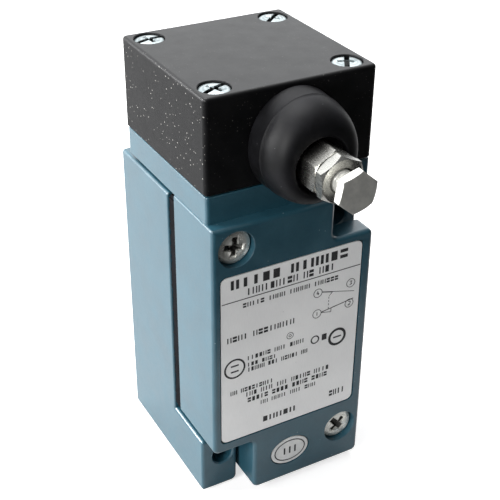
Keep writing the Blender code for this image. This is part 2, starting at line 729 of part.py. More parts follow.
def head_screw_places():
    half = HALF_HEAD - HEAD_SCREW_INSET
    return [("front_left", -half, HEAD_MIDDLE + half), ("front_right", half, HEAD_MIDDLE + half),
            ("rear_left", -half, HEAD_MIDDLE - half), ("rear_right", half, HEAD_MIDDLE - half)]


def switch_housing():
    slab = prism(rounded(unit_outline(), UNIT_CORNER), "Y", UNIT_BACK, UNIT_FRONT)
    half_neck = HALF_HEAD - NECK_SETBACK
    neck = prism(rounded(rectangle(-half_neck, half_neck, -HEAD_FRONT,
                                   -HEAD_FRONT + 2 * half_neck), HEAD_CORNER),
                 "Z", SHOULDER_Z, NECK_TOP)
    web = prism(rectangle(-half_neck + HEAD_CORNER, NOTCH_X - UNIT_CORNER,
                          SHOULDER_Z - NECK_HEIGHT / 2, SHOULDER_Z + NECK_HEIGHT / 2),
                "Y", UNIT_BACK + CLEARANCE, HEAD_FRONT - CLEARANCE)
    half_cavity = HALF_UNIT - UNIT_SIDE_WALL
    cavity_front = UNIT_FRONT - UNIT_WALL
    cuts = [prism(rectangle(NOTCH_X, HALF_UNIT + OVERCUT, PILLAR_EDGE_Z - FOOT_SPLIT,
                            LEDGE_Z + UNIT_CORNER + OVERCUT), "Y",
                  UNIT_BACK - OVERCUT, UNIT_FRONT - LEDGE_DEPTH),
            prism(rectangle(-half_cavity, half_cavity, BLOCK_BOTTOM - BLOCK_FIT,
                            BLOCK_TOP + BLOCK_FIT), "Y", UNIT_BACK - OVERCUT, cavity_front),
            prism(rectangle(-CHANNEL_WIDTH / 2, CHANNEL_WIDTH / 2, BLOCK_TOP, CHANNEL_TOP),
                  "Y", UNIT_BACK - OVERCUT, cavity_front),
            upright(0, CAM_MIDDLE, PLUNGER_STEM_D + 2 * RUNNING, CHANNEL_TOP - OVERCUT,
                    NECK_TOP + OVERCUT, MEDIUM),
            upright(0, CAM_MIDDLE, PLUNGER_POCKET_D, NECK_TOP - PLUNGER_POCKET,
                    NECK_TOP + OVERCUT, MEDIUM),
            prism(label_box(CLEARANCE), "Y", UNIT_FRONT - LABEL_SUNK - LABEL_THICKNESS - CLEARANCE,
                  UNIT_FRONT + OVERCUT),
            prism(oval(STICKER_WIDTH + 2 * CLEARANCE, STICKER_HEIGHT + 2 * CLEARANCE, MEDIUM), "Y",
                  UNIT_FRONT - LABEL_SUNK - LABEL_THICKNESS - CLEARANCE, UNIT_FRONT + OVERCUT)]
    for x, z in (CAPTIVE_UPPER, CAPTIVE_LOWER):
        cuts.append(drill(x, z, CAPTIVE_BORE_D, CAPTIVE_SEAT_DEPTH, UNIT_FRONT + OVERCUT))
        cuts.append(drill(x, z, CAPTIVE_SHANK_D + 2 * CLEARANCE, UNIT_BACK - OVERCUT,
                          UNIT_FRONT, COARSE))
    for _, x, depth in head_screw_places():
        cuts.append(upright(x, depth, HEAD_SCREW_SHANK_D + 2 * CLEARANCE,
                            NECK_TOP - HEAD_SCREW_GRIP - 2 * CLEARANCE, NECK_TOP + OVERCUT, COARSE))
    outer, inner = seal_outlines(CLEARANCE)
    groove = combined(prism(outer, "Z", NECK_TOP - SEAL_GROOVE, NECK_TOP + OVERCUT),
                      removed=[prism(inner, "Z", NECK_TOP - SEAL_GROOVE - OVERCUT,
                                     NECK_TOP + 2 * OVERCUT)])
    cuts.append(groove)
    piece("switch_housing", combined(slab, [web, neck], cuts), "blue_enamel", unit_frame)


def labels():
    front = UNIT_FRONT - LABEL_SUNK
    piece("nameplate", prism(rounded(label_box(), LABEL_CORNER, 3), "Y", front - LABEL_THICKNESS, front),
          "foil", unit_frame)
    piece("oval_sticker", prism(oval(STICKER_WIDTH, STICKER_HEIGHT, MEDIUM), "Y",
                                front - LABEL_THICKNESS, front), "paper", unit_frame)


def captive_screws():
    shank = CAPTIVE_SEAT_DEPTH - RECEPTACLE_DEPTH + CAPTIVE_THREAD
    for name, place, turn in (("upper_left", CAPTIVE_UPPER, radians(CAPTIVE_UPPER_TURN)),
                              ("lower_right", CAPTIVE_LOWER, radians(CAPTIVE_LOWER_TURN))):
        mesh = screw_mesh(CAPTIVE_HEAD_D, CAPTIVE_HEAD, CAPTIVE_SHANK_D, shank, steps=24)
        piece("captive_screw_" + name, mesh, "nickel", unit_frame,
              (place[0], -CAPTIVE_SEAT_DEPTH - CLEARANCE, place[1]), (radians(90), turn, 0.0))
        ring = tube([(RETAINER_D / 2, 0), (RETAINER_D / 2, RETAINER_THICKNESS)],
                    CAPTIVE_SHANK_D / 2 + CLEARANCE, 24)
        piece("retainer_" + name, ring, "spring_steel", unit_frame,
              (place[0], -UNIT_BACK + CLEARANCE + RETAINER_THICKNESS, place[1]), FRONTWARD)


def contact_block():
    block = prism(rectangle(-HALF_BLOCK, HALF_BLOCK, BLOCK_BOTTOM, BLOCK_TOP), "Y",
                  BLOCK_BACK, BLOCK_FRONT)
    half = CHAMBER_WIDTH / 2
    front = BLOCK_FRONT - BLOCK_WALL
    back = BLOCK_BACK + BLOCK_WALL
    half_carrier = CARRIER_WIDTH / 2 + CLEARANCE
    cuts = [prism(rectangle(-half, half, CHAMBER_FLOOR, BLOCK_TOP + OVERCUT), "Y", back, front),
            prism(rectangle(-half_carrier, half_carrier, GUIDE_FLOOR, CHAMBER_FLOOR + OVERCUT), "Y",
                  CAM_MIDDLE - CARRIER_DEPTH / 2 - CLEARANCE,
                  CAM_MIDDLE + CARRIER_DEPTH / 2 + CLEARANCE)]
    for _, side, z in terminal_places():
        x = side * BLADE_X
        reach = BLADE_THICKNESS / 2 + CLEARANCE
        tall = BLADE_WIDTH / 2 + CLEARANCE
        cuts.append(prism(rectangle(x - reach, x + reach, z - tall, z + tall), "Y",
                          BLOCK_BACK - OVERCUT, back + OVERCUT))
    piece("contact_block", combined(block, removed=cuts), "moulding", unit_frame)
    for name, side, z in terminal_places():
        x = side * BLADE_X
        thick = BLADE_THICKNESS / 2
        tall = BLADE_WIDTH / 2
        tip = CLIP_FACE + CLEARANCE
        taper = BLADE_WIDTH / 6
        nose = CAM_MIDDLE + BLADE_PAST_CARRIER
        outline = [(-nose, z - tall), (-tip - taper, z - tall),
                   (-tip, z - tall + taper), (-tip, z + tall - taper),
                   (-tip - taper, z + tall), (-nose, z + tall)]
        piece("plug_blade_" + name, prism(outline, "X", x - thick, x + thick), "brass", unit_frame)


def head_housing():
    plan = rounded(rectangle(-HALF_HEAD, HALF_HEAD, -HEAD_FRONT, -HEAD_FRONT + HEAD_SIZE),
                   HEAD_CORNER)
    block = prism(plan, "Z", HEAD_BOTTOM, HEAD_TOP)
    boss = drill(0, SHAFT_Z, BOSS_D, HEAD_CAVITY_FRONT + CLEARANCE, BOSS_FRONT, FINE)
    cavity = rectangle(-HALF_HEAD_CAVITY, HALF_HEAD_CAVITY, -HEAD_CAVITY_FRONT, -HEAD_CAVITY_BACK)
    cuts = [prism(rounded(cavity, HEAD_CAVITY_CORNER, 3), "Z", HEAD_BOTTOM - OVERCUT,
                  HEAD_TOP - HEAD_ROOF),
            drill(0, SHAFT_Z, BUSHING_D + 2 * CLEARANCE, HEAD_CAVITY_FRONT - OVERCUT,
                  BOSS_FRONT + OVERCUT, FINE)]
    seat = HEAD_TOP - HEAD_SCREW_SINK - HEAD_SCREW_HEAD_H - CLEARANCE
    for _, x, depth in head_screw_places():
        cuts.append(upright(x, depth, HEAD_SCREW_SHANK_D + 2 * CLEARANCE, HEAD_BOTTOM - OVERCUT,
                            HEAD_TOP, COARSE))
        cuts.append(upright(x, depth, HEAD_SCREW_HEAD_D + 2 * CLEARANCE, seat, HEAD_TOP + OVERCUT))
    piece("head_housing", combined(block, [boss], cuts), "black_epoxy", unit_frame)

    shank = seat + CLEARANCE - NECK_TOP + HEAD_SCREW_GRIP
    screw = screw_mesh(HEAD_SCREW_HEAD_D, HEAD_SCREW_HEAD_H, HEAD_SCREW_SHANK_D, shank,
                       cross=True, steps=24)
    for name, x, depth in head_screw_places():
        piece("head_screw_" + name, screw.copy(), "zinc", unit_frame,
              (x, -depth, seat + CLEARANCE), (0.0, 0.0, radians(HEAD_SCREW_TURN)))

    outer, inner = seal_outlines(0.0)
    low = NECK_TOP - SEAL_GROOVE + CLEARANCE / 2
    ring = combined(prism(outer, "Z", low, low + SEAL_THICKNESS - CLEARANCE / 2),
                    removed=[prism(inner, "Z", low - OVERCUT, low + SEAL_THICKNESS + OVERCUT)])
    piece("head_seal", ring, "rubber", unit_frame)


def bushing_and_boot():
    back = HEAD_CAVITY_FRONT
    sleeve = BOSS_FRONT + CLEARANCE - back
    flange = BUSHING_FLANGE_D / 2
    bush = tube([(BUSHING_D / 2, 0), (BUSHING_D / 2, sleeve), (flange, sleeve),
                 (flange, sleeve + BUSHING_FLANGE)], JOURNAL_D / 2 + RUNNING, FINE)
    piece("shaft_bushing", bush, "bronze", unit_frame, (0, -back, SHAFT_Z), FRONTWARD)

    base = BOOT_BASE_D / 2
    rim = BOOT_RIM_D / 2
    mouth = BOOT_MOUTH_D / 2
    rim_height = BOOT_RIM_REACH - CLEARANCE
    height = BOOT_REACH - CLEARANCE
    profile = [(base, 0), (rim, rim_height)]
    steps = 6
    for step in range(1, steps + 1):
        angle = pi / 2 * step / steps
        profile.append((mouth + (rim - mouth) * cos(angle),
                        rim_height + (height - rim_height) * sin(angle)))
    floor = height - BOOT_RECESS
    hole = JOURNAL_D / 2 + BOOT_LIP_GAP
    hollow = BOSS_D / 2 + CLEARANCE
    profile += [(BOOT_RECESS_D / 2, floor), (hole, floor), (hole, floor - BOOT_MEMBRANE),
                (hollow, floor - BOOT_MEMBRANE), (hollow, 0)]
    piece("rubber_boot", turned_loop(profile, FINE), "rubber", unit_frame,
          (0, -BOOT_BACK, SHAFT_Z), FRONTWARD)


# Shaft line

def ring_sector(inner, outer, start, span, low, high):
    """Block between two radii, from an angle clockwise from the top, seen from the front."""
    first = 90.0 - start - span
    outline = arc(0, 0, outer, first, first + span, 5) + arc(0, 0, inner, first + span, first, 5)
    return prism(outline, "Y", low - CAM_MIDDLE, high - CAM_MIDDLE)


def shaft():
    groove_back = RING_BACK - CLEARANCE / 2 - CAM_MIDDLE
    groove_front = RING_BACK + RING_THICKNESS + CLEARANCE / 2 - CAM_MIDDLE
    tail = groove_back - TAIL_PAST_RING
    collar_back = COLLAR_BACK - CAM_MIDDLE
    collar_front = COLLAR_FRONT - CAM_MIDDLE
    hex_back = HEX_BACK - CAM_MIDDLE
    spindle = SPINDLE_D / 2
    journal = JOURNAL_D / 2
    floor = spindle - RING_GROOVE
    turning = turned([(0, tail), (spindle - TIP_CHAMFER, tail), (spindle, tail + TIP_CHAMFER),
                      (spindle, groove_back), (floor, groove_back),
                      (floor, groove_front), (spindle, groove_front),
                      (spindle, collar_back), (COLLAR_D / 2, collar_back),
                      (COLLAR_D / 2, collar_front), (journal, collar_front),
                      (journal, hex_back + CLEARANCE), (0, hex_back + CLEARANCE)], FINE)
    turning.transform(Matrix.Rotation(radians(90), 4, "X"))
    end = prism(hexagon(HEX_ACROSS, HEX_ANGLE), "Y", hex_back, HEX_FRONT - CAM_MIDDLE)
    dog = ring_sector(spindle - CLEARANCE, COLLAR_D / 2 - CLEARANCE, TOOTH_FROM - DOG_GAP - DOG_SPAN,
                      DOG_SPAN, COLLAR_BACK - DOG_LENGTH, COLLAR_BACK + CLEARANCE)
    hole = drill(0, 0, BOLT_D + 2 * CLEARANCE, HEX_FRONT - BOLT_HOLE_DEPTH - CAM_MIDDLE,
                 HEX_FRONT - CAM_MIDDLE + OVERCUT, 24)
    piece("shaft", combined(turning, [end, dog], [hole]), "stainless", shaft_axis)

    ring = tube([(RING_D / 2, 0), (RING_D / 2, RING_THICKNESS)], floor + CLEARANCE / 2, 24)
    piece("retaining_ring", ring, "spring_steel", shaft_axis, along_shaft(RING_BACK), FRONTWARD)

    nut = combined(prism(hexagon(NUT_ACROSS, NUT_ANGLE), "Y", NUT_BACK - CAM_MIDDLE,
                         NUT_FRONT - CAM_MIDDLE),
                   removed=[drill(0, 0, BOLT_D + 2 * CLEARANCE, NUT_BACK - CAM_MIDDLE - OVERCUT,
                                  NUT_FRONT - CAM_MIDDLE + OVERCUT, 24)])
    piece("lever_nut", nut, "stainless", shaft_axis)

    bolt_tip = HEX_FRONT - BOLT_HOLE_DEPTH + OVERCUT - CAM_MIDDLE
    head_back = BOLT_HEAD_BACK - CAM_MIDDLE
    bolt = combined(prism(hexagon(BOLT_HEAD_ACROSS, BOLT_ANGLE), "Y", head_back,
                          head_back + BOLT_HEAD),
                    [drill(0, 0, BOLT_D, bolt_tip, head_back + BOLT_HEAD / 2, 24)])
    piece("lever_bolt", bolt, "stainless", shaft_axis)


def cam_outline():
    """Involute flank for the flat plunger, closed by the hub. As (x, z), seen from the front."""
    points = []
    for step in range(CAM_FLANK_STEPS + 1):
        turn = radians(CAM_SWEEP + CAM_RUNOUT) * step / CAM_FLANK_STEPS
        height = CAM_REST + CAM_BASE * turn
        points.append((CAM_BASE * cos(turn) + height * sin(turn),
                       CAM_BASE * sin(turn) - height * cos(turn)))
    return points + arc(0, 0, CAM_HUB_D / 2 - CLEARANCE, CAM_BACK_FROM, CAM_BACK_TO,
                        CAM_FLANK_STEPS)


def cam():
    hub = prism(circle(CAM_HUB_D / 2, MEDIUM), "Y", HUB_BACK - CAM_MIDDLE, CAM_FRONT - CAM_MIDDLE)
    lobe = prism(cam_outline(), "Y", CAM_BACK - CAM_MIDDLE, CAM_FRONT - CAM_MIDDLE)
    tooth = ring_sector(CAM_HUB_D / 2 - 2 * CLEARANCE, COLLAR_D / 2 - CLEARANCE, TOOTH_FROM, DOG_SPAN,
                        CAM_FRONT - CLEARANCE, COLLAR_BACK - CLEARANCE)
    bore = drill(0, 0, SPINDLE_D + 2 * RUNNING, HUB_BACK - CAM_MIDDLE - OVERCUT,
                 CAM_FRONT - CAM_MIDDLE + OVERCUT, FINE)
    piece("cam_sleeve", combined(hub, [lobe, tooth], [bore]), "spring_steel", cam_axis)
    room = CAM_BACK - HUB_BACK - 2 * CLEARANCE
    spring = coil(CAM_HUB_D / 2 + CLEARANCE + RETURN_WIRE / 2, RETURN_WIRE, RETURN_TURNS, room)
    piece("return_spring", spring, "spring_steel", cam_axis,
          along_shaft(HUB_BACK + CLEARANCE), FRONTWARD)


# Plunger and contacts

def plunger():
    foot = PLUNGER_FOOT - PLUNGER_TOP
    head_r = PLUNGER_HEAD_D / 2
    stem = PLUNGER_STEM_D / 2
    body = turned([(0, foot), (stem - TIP_CHAMFER, foot), (stem, foot + TIP_CHAMFER),
                   (stem, -PLUNGER_HEAD),
                   (head_r, -PLUNGER_HEAD), (head_r, 0), (0, 0)], MEDIUM)
    piece("head_plunger", body, "stainless", plunger_axis)
    floor = NECK_TOP - PLUNGER_POCKET + CLEARANCE - PLUNGER_TOP
    length = -PLUNGER_HEAD - CLEARANCE - floor
    spring = coil(stem + CLEARANCE + PLUNGER_WIRE / 2, PLUNGER_WIRE, PLUNGER_TURNS, length)
    piece("plunger_spring", spring, "spring_steel", plunger_axis, (0, 0, floor))


def bridge_mesh(up):
    """Contact bar with a button near each end, on its upper or lower side."""
    half = BRIDGE_LENGTH / 2
    bar = prism(rectangle(-half, half, -BRIDGE_WIDTH / 2, BRIDGE_WIDTH / 2), "Z",
                -BRIDGE_THICKNESS / 2, BRIDGE_THICKNESS / 2)
    buttons = []
    for x in (-BLADE_X, BLADE_X):
        ends = (0, BRIDGE_THICKNESS / 2 + BUTTON_HEIGHT)
        if not up:
            ends = (-ends[1], 0)
        buttons.append(upright(x, 0, BUTTON_D, ends[0], ends[1], COARSE))
    return combined(bar, buttons)


def contacts():
    low = CARRIER_FOOT - CARRIER_TOP
    shoulder = CARRIER_SHOULDER - CARRIER_TOP
    half = CARRIER_WIDTH / 2
    deep = CARRIER_DEPTH / 2
    slider = prism(rectangle(-half, half, -deep, deep), "Z", low, shoulder)
    stem = upright(0, 0, CARRIER_STEM, shoulder - OVERCUT, 0, MEDIUM)
    reach = BRIDGE_THICKNESS / 2 + BUTTON_HEIGHT + CLEARANCE
    places = (("contact_bridge_nc", NC_EDGE_Z - reach, True),
              ("contact_bridge_no", NO_EDGE_Z + PLUNGER_TRAVEL + reach, False))
    windows = []
    for name, z, up in places:
        slot = BRIDGE_THICKNESS / 2 + CLEARANCE
        middle = z - CARRIER_TOP
        windows.append(prism(rectangle(-BRIDGE_WIDTH / 2 - CLEARANCE, BRIDGE_WIDTH / 2 + CLEARANCE,
                                       middle - slot, middle + slot), "X",
                             -half - OVERCUT, half + OVERCUT))
        piece(name, bridge_mesh(up), "brass", carrier_axis, (0, 0, middle))
    piece("contact_carrier", combined(slider, [stem], windows), "acetal", carrier_axis)
    floor = GUIDE_FLOOR + CLEARANCE - CARRIER_TOP
    length = low - CLEARANCE - floor
    spring = coil(half - CARRIER_WIRE, CARRIER_WIRE, CARRIER_TURNS, length)
    piece("carrier_spring", spring, "spring_steel", carrier_axis, (0, 0, floor))


receptacle()
body_gasket()
terminal_block()
terminals()
chamber_screws()
switch_housing()
labels()
captive_screws()
contact_block()
head_housing()
bushing_and_boot()
shaft()
cam()
plunger()
contacts()
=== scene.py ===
import random
from math import cos, pi, radians, sin

import bmesh
import bpy
from mathutils import Matrix, Vector


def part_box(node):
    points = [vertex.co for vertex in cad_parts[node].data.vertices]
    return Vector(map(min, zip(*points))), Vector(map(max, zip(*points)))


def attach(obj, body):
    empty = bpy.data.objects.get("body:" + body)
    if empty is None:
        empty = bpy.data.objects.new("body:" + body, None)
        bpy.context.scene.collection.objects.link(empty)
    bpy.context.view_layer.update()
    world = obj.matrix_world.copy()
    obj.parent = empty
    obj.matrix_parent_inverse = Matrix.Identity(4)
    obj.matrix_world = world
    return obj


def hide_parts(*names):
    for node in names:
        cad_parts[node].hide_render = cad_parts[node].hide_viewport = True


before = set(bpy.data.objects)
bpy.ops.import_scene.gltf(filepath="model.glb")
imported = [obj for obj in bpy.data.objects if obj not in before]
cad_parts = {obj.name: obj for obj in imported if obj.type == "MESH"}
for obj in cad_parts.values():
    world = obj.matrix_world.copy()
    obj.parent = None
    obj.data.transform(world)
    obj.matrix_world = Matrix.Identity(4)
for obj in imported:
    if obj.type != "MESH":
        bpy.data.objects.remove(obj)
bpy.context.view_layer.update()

# Limit switch: wiring receptacle, plug-in switch unit and side-rotary head.
# Lengths are in millimetres until a mesh is made. x is the width, depth runs forwards
# from the mounting face (so y = -depth), z is up.

mm = 0.001
seam = 0.3          # gap between pieces that meet in the frame
over = 1.0          # how far a cut passes the face it opens
swell = 0.32        # how far the body gasket swells past its place in the frame
draw = random.Random(41)


def spans(node):
    # how far a node of the frame reaches
    low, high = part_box(node)
    return {"x0": low.x / mm, "x1": high.x / mm, "d0": -high.y / mm, "d1": -low.y / mm,
            "z0": low.z / mm, "z1": high.z / mm,
            "x": (low.x + high.x) / 2 / mm, "d": -(low.y + high.y) / 2 / mm,
            "z": (low.z + high.z) / 2 / mm}


class Wire:
    # a socket that can be used in an expression
    def __init__(self, finish, socket):
        self.finish = finish
        self.socket = socket

    def maths(self, operation, first, second):
        return self.finish.node("ShaderNodeMath", {"operation": operation}, {0: first, 1: second})

    def other(self, output):
        # another output of the same node
        return Wire(self.finish, self.socket.node.outputs[output])

    def __add__(self, other):
        return self.maths("ADD", self, other)

    def __radd__(self, other):
        return self.maths("ADD", other, self)

    def __sub__(self, other):
        return self.maths("SUBTRACT", self, other)

    def __rsub__(self, other):
        return self.maths("SUBTRACT", other, self)

    def __mul__(self, other):
        return self.maths("MULTIPLY", self, other)

    def __rmul__(self, other):
        return self.maths("MULTIPLY", other, self)

    def __gt__(self, other):
        return self.maths("GREATER_THAN", self, other)

    def __lt__(self, other):
        return self.maths("LESS_THAN", self, other)


class Finish:
    # one material with its Principled shader, or the nodes of a tree that is handed in
    def __init__(self, name, tree=None):
        if tree is None:
            self.material = bpy.data.materials.new(name)
            self.material.use_nodes = True
            tree = self.material.node_tree
            self.shader = tree.nodes["Principled BSDF"]
        self.tree = tree

    def node(self, kind, settings=None, inputs=None, output=0):
        made = self.tree.nodes.new(kind)
        for setting, value in (settings or {}).items():
            setattr(made, setting, value)
        for key, value in (inputs or {}).items():
            self.feed(made.inputs[key], value)
        return Wire(self, made.outputs[output])

    def feed(self, socket, value):
        if isinstance(value, Wire):
            self.tree.links.new(value.socket, socket)
        elif hasattr(value, "__len__") and len(value) == 3 and socket.type == "RGBA":
            socket.default_value = (*value, 1.0)
        else:
            socket.default_value = value

    def where(self, stretch=(1.0, 1.0, 1.0)):
        # the piece's own coordinates, in millimetres, stretched along each axis
        own = self.node("ShaderNodeTexCoord", output="Object")
        return self.node("ShaderNodeVectorMath", {"operation": "MULTIPLY"},
                         {0: own, 1: [value / mm for value in stretch]})

    def apart(self, place, seed, ways):
        # coordinates moved aside, so that two patterns don't line up
        if not seed:
            return place
        return self.node("ShaderNodeVectorMath", {"operation": "ADD"},
                         {0: place, 1: [seed * way for way in ways]})

    def noise(self, scale, detail=3.0, rough=0.5, stretch=(1.0, 1.0, 1.0), seed=0.0):
        place = self.apart(self.where(stretch), seed, (1.0, 1.7, 2.3))
        return self.node("ShaderNodeTexNoise", None,
                         {"Vector": place, "Scale": scale, "Detail": detail, "Roughness": rough})

    def specks(self, scale, size, share, seed=0.0):
        # 1 inside scattered round specks, 0 elsewhere; only some of the cells hold one
        place = self.apart(self.where(), seed, (1.0, 0.7, 1.9))
        cells = self.node("ShaderNodeTexVoronoi", None, {"Vector": place, "Scale": scale},
                          "Distance")
        chance = self.node("ShaderNodeSeparateColor", None, {0: cells.other("Color")})
        return (cells < size) * (chance < share)

    def between(self, value, low, high, start=0.0, end=1.0):
        # value from low to high brought to start to end, and held there
        return self.node("ShaderNodeMapRange", {"clamp": True},
                         {0: value, 1: low, 2: high, 3: start, 4: end})

    def blend(self, share, first, second):
        # two colours mixed
        return self.node("ShaderNodeMix", {"data_type": "RGBA"}, {0: share, 6: first, 7: second}, 2)

    def axis(self, output):
        # one of the piece's own coordinates, in millimetres
        return self.node("ShaderNodeSeparateXYZ", None, {0: self.where()}, output)

    def bumped(self, height, strength, depth, under=None):
        inputs = {"Height": height, "Strength": strength, "Distance": depth * mm}
        if under is not None:
            inputs["Normal"] = under
        return self.node("ShaderNodeBump", None, inputs)

    def set(self, **sockets):
        # baseColor=... sets or links the socket named Base Color, and so on
        for name, value in sockets.items():
            spaced = "".join(" " + letter if letter.isupper() else letter for letter in name)
            self.feed(self.shader.inputs[spaced.title().replace("Ior", "IOR")], value)
        return self.material


# finishes; scales are per millimetre, and specks are (scale, size, share of the cells)

def enamelFinish():
    # glossy blue-grey enamel with a little orange peel, mottle and dust
    look = {"deep": (0.0135, 0.060, 0.087), "pale": (0.0225, 0.084, 0.117),
            "mottle": 0.16, "grain": 2.6, "grainShare": 0.3,
            "dust": (0.30, 0.38, 0.42), "dustSpecks": (0.55, 0.085, 0.24), "dustStrength": 0.45,
            "peel": 1.3, "peelStrength": 0.22, "peelDepth": 0.05,
            "fine": 5.5, "fineStrength": 0.12, "fineDepth": 0.02,
            "roughness": (0.30, 0.42), "coat": 0.75, "coatRoughness": 0.20}
    paint = Finish("blueEnamel")
    mottle = paint.noise(look["mottle"], 4.0, 0.6)
    grain = paint.noise(look["grain"], 3.0, 0.55)
    mixed = mottle * (1 - look["grainShare"]) + grain * look["grainShare"]
    shade = paint.between(mixed, 0.35, 0.68)
    colour = paint.blend(shade, look["deep"], look["pale"])
    dust = paint.specks(*look["dustSpecks"]) * look["dustStrength"]
    colour = paint.blend(dust, colour, look["dust"])
    peel = paint.bumped(paint.noise(look["peel"], 2.0), look["peelStrength"], look["peelDepth"])
    fine = paint.bumped(paint.noise(look["fine"], 2.0), look["fineStrength"], look["fineDepth"],
                        peel)
    return paint.set(baseColor=colour, roughness=paint.between(mottle, 0.3, 0.7, *look["roughness"]),
                     coatWeight=look["coat"], coatRoughness=look["coatRoughness"], normal=fine)


def epoxyFinish():
    # satin black epoxy, finely pitted, with pale dust caught in it, mostly on the left,
    # and a little more gloss on the top
    look = {"dark": (0.0030, 0.0030, 0.0034), "worn": (0.0052, 0.0052, 0.0056), "mottle": 0.22,
            "dust": (0.42, 0.41, 0.38), "fineSpecks": (1.8, 0.20, 0.30),
            "largeSpecks": (0.95, 0.13, 0.26), "patch": 0.11, "uneven": 1.2,
            "leftFace": (-20.3, -19.9), "elsewhere": 0.16,
            "pits": 3.2, "pitStrength": 0.30, "pitDepth": 0.035,
            "roughness": (0.36, 0.48), "shine": 0.14,
            "topFace": (65.9, 66.7), "coat": 0.38, "coatRoughness": 0.34}
    paint = Finish("blackEpoxy")
    mottle = paint.noise(look["mottle"], 5.0, 0.6)
    colour = paint.blend(paint.between(mottle, 0.35, 0.7), look["dark"], look["worn"])
    left = paint.between(paint.axis("X"), *look["leftFace"], 1.0, look["elsewhere"])
    patch = paint.between(paint.noise(look["patch"], 2.0, seed=7.0), 0.40, 0.60)
    fine = paint.specks(*look["fineSpecks"], seed=3.0)
    large = paint.specks(*look["largeSpecks"], seed=11.0)
    strength = paint.between(paint.noise(look["uneven"], 2.0, seed=21.0), 0.35, 0.65, 0.25, 0.9)
    dust = (fine * patch + large) * left * strength
    colour = paint.blend(paint.between(dust, 0.0, 1.0), colour, look["dust"])
    pits = paint.bumped(paint.noise(look["pits"], 3.0, 0.6), look["pitStrength"], look["pitDepth"])
    return paint.set(baseColor=colour, roughness=paint.between(mottle, 0.3, 0.7, *look["roughness"]),
                     specularIorLevel=look["shine"], coatRoughness=look["coatRoughness"],
                     coatWeight=paint.between(paint.axis("Z"), *look["topFace"], 0.0, look["coat"]),
                     normal=pits)


def rubberFinish(name, roughness, grain, shine):
    # dull black rubber with a faint bloom and a few specks of dust
    look = {"dark": (0.0035, 0.0035, 0.0040), "bloom": (0.0085, 0.0085, 0.0105), "cloud": 0.12,
            "dust": (0.20, 0.20, 0.22), "dustSpecks": (1.1, 0.09, 0.10), "dustStrength": 0.5,
            "skinStrength": 0.18, "skinDepth": 0.03, "spread": 0.12}
    rubber = Finish(name)
    cloud = rubber.noise(look["cloud"], 4.0, 0.65)
    colour = rubber.blend(rubber.between(cloud, 0.4, 0.75), look["dark"], look["bloom"])
    dust = rubber.specks(*look["dustSpecks"], seed=5.0) * look["dustStrength"]
    colour = rubber.blend(dust, colour, look["dust"])
    skin = rubber.bumped(rubber.noise(grain, 3.0, 0.6), look["skinStrength"], look["skinDepth"])
    rough = rubber.between(cloud, 0.3, 0.7, roughness, roughness + look["spread"])
    return rubber.set(baseColor=colour, roughness=rough, specularIorLevel=shine, normal=skin)


def metalFinish(name, look):
    # metal with fine scratches along one axis and soft stains
    metal = Finish(name)
    stain = metal.noise(look.get("stainScale", 0.35), 4.0, 0.6)
    along = metal.noise(look["scratchScale"], 3.0, 0.65, look["scratch"])
    colour = metal.blend(metal.between(stain, 0.35, 0.7), look["dark"], look["pale"])
    rough = metal.between(stain * 0.5 + along * 0.5, 0.35, 0.65, look["roughness"],
                          look["roughness"] + look.get("spread", 0.14))
    return metal.set(baseColor=colour, roughness=rough, metallic=1.0,
                     normal=metal.bumped(along, look["depth"], 0.02))


def facedFinish(name, look):
    # metal faced on a lathe: rings about the piece's own Z axis; a recess, given as
    # (height, radius), gets painted shade: near black below that height and within that radius
    metal = Finish(name)
    flat = metal.node("ShaderNodeVectorMath", {"operation": "MULTIPLY"},
                      {0: metal.where(), 1: (1.0, 1.0, 0.0)})
    radius = metal.node("ShaderNodeVectorMath", {"operation": "LENGTH"}, {0: flat}, "Value")
    waver = metal.noise(0.6, 3.0, 0.6)
    rings = metal.node("ShaderNodeMath", {"operation": "SINE"},
                       {0: radius * look["rings"] + waver * 3.0})
    stain = metal.noise(0.5, 4.0, 0.6, seed=2.0)
    colour = metal.blend(metal.between(stain + rings * 0.08, 0.35, 0.7), look["dark"], look["pale"])
    if "recess" in look:
        height = metal.axis("Z")
        # painted shade: the recess is coloured near black where shade falls in it
        recessShade = (height < look["recess"][0]) * (radius < look["recess"][1]) * (height > 0.2) * 0.9
        colour = metal.blend(recessShade, colour, (0.012, 0.011, 0.010))
    rough = metal.between(stain, 0.3, 0.7, look["roughness"], look["roughness"] + 0.12)
    return metal.set(baseColor=colour, metallic=look.get("metallic", 1.0), roughness=rough,
                     normal=metal.bumped(rings, look["depth"], 0.012))


def mouldingFinish(name, look):
    # moulded plastic, slightly cloudy and flecked
    plastic = Finish(name)
    cloud = plastic.noise(0.2, 4.0, 0.6)
    flecks = plastic.noise(3.2, 3.0, 0.7)
    shade = plastic.between(cloud * 0.6 + flecks * 0.4, 0.35, 0.7)
    rough = plastic.between(cloud, 0.3, 0.7, look["roughness"], look["roughness"] + 0.15)
    return plastic.set(baseColor=plastic.blend(shade, look["dark"], look["pale"]), roughness=rough,
                       normal=plastic.bumped(flecks, 0.12, 0.03))


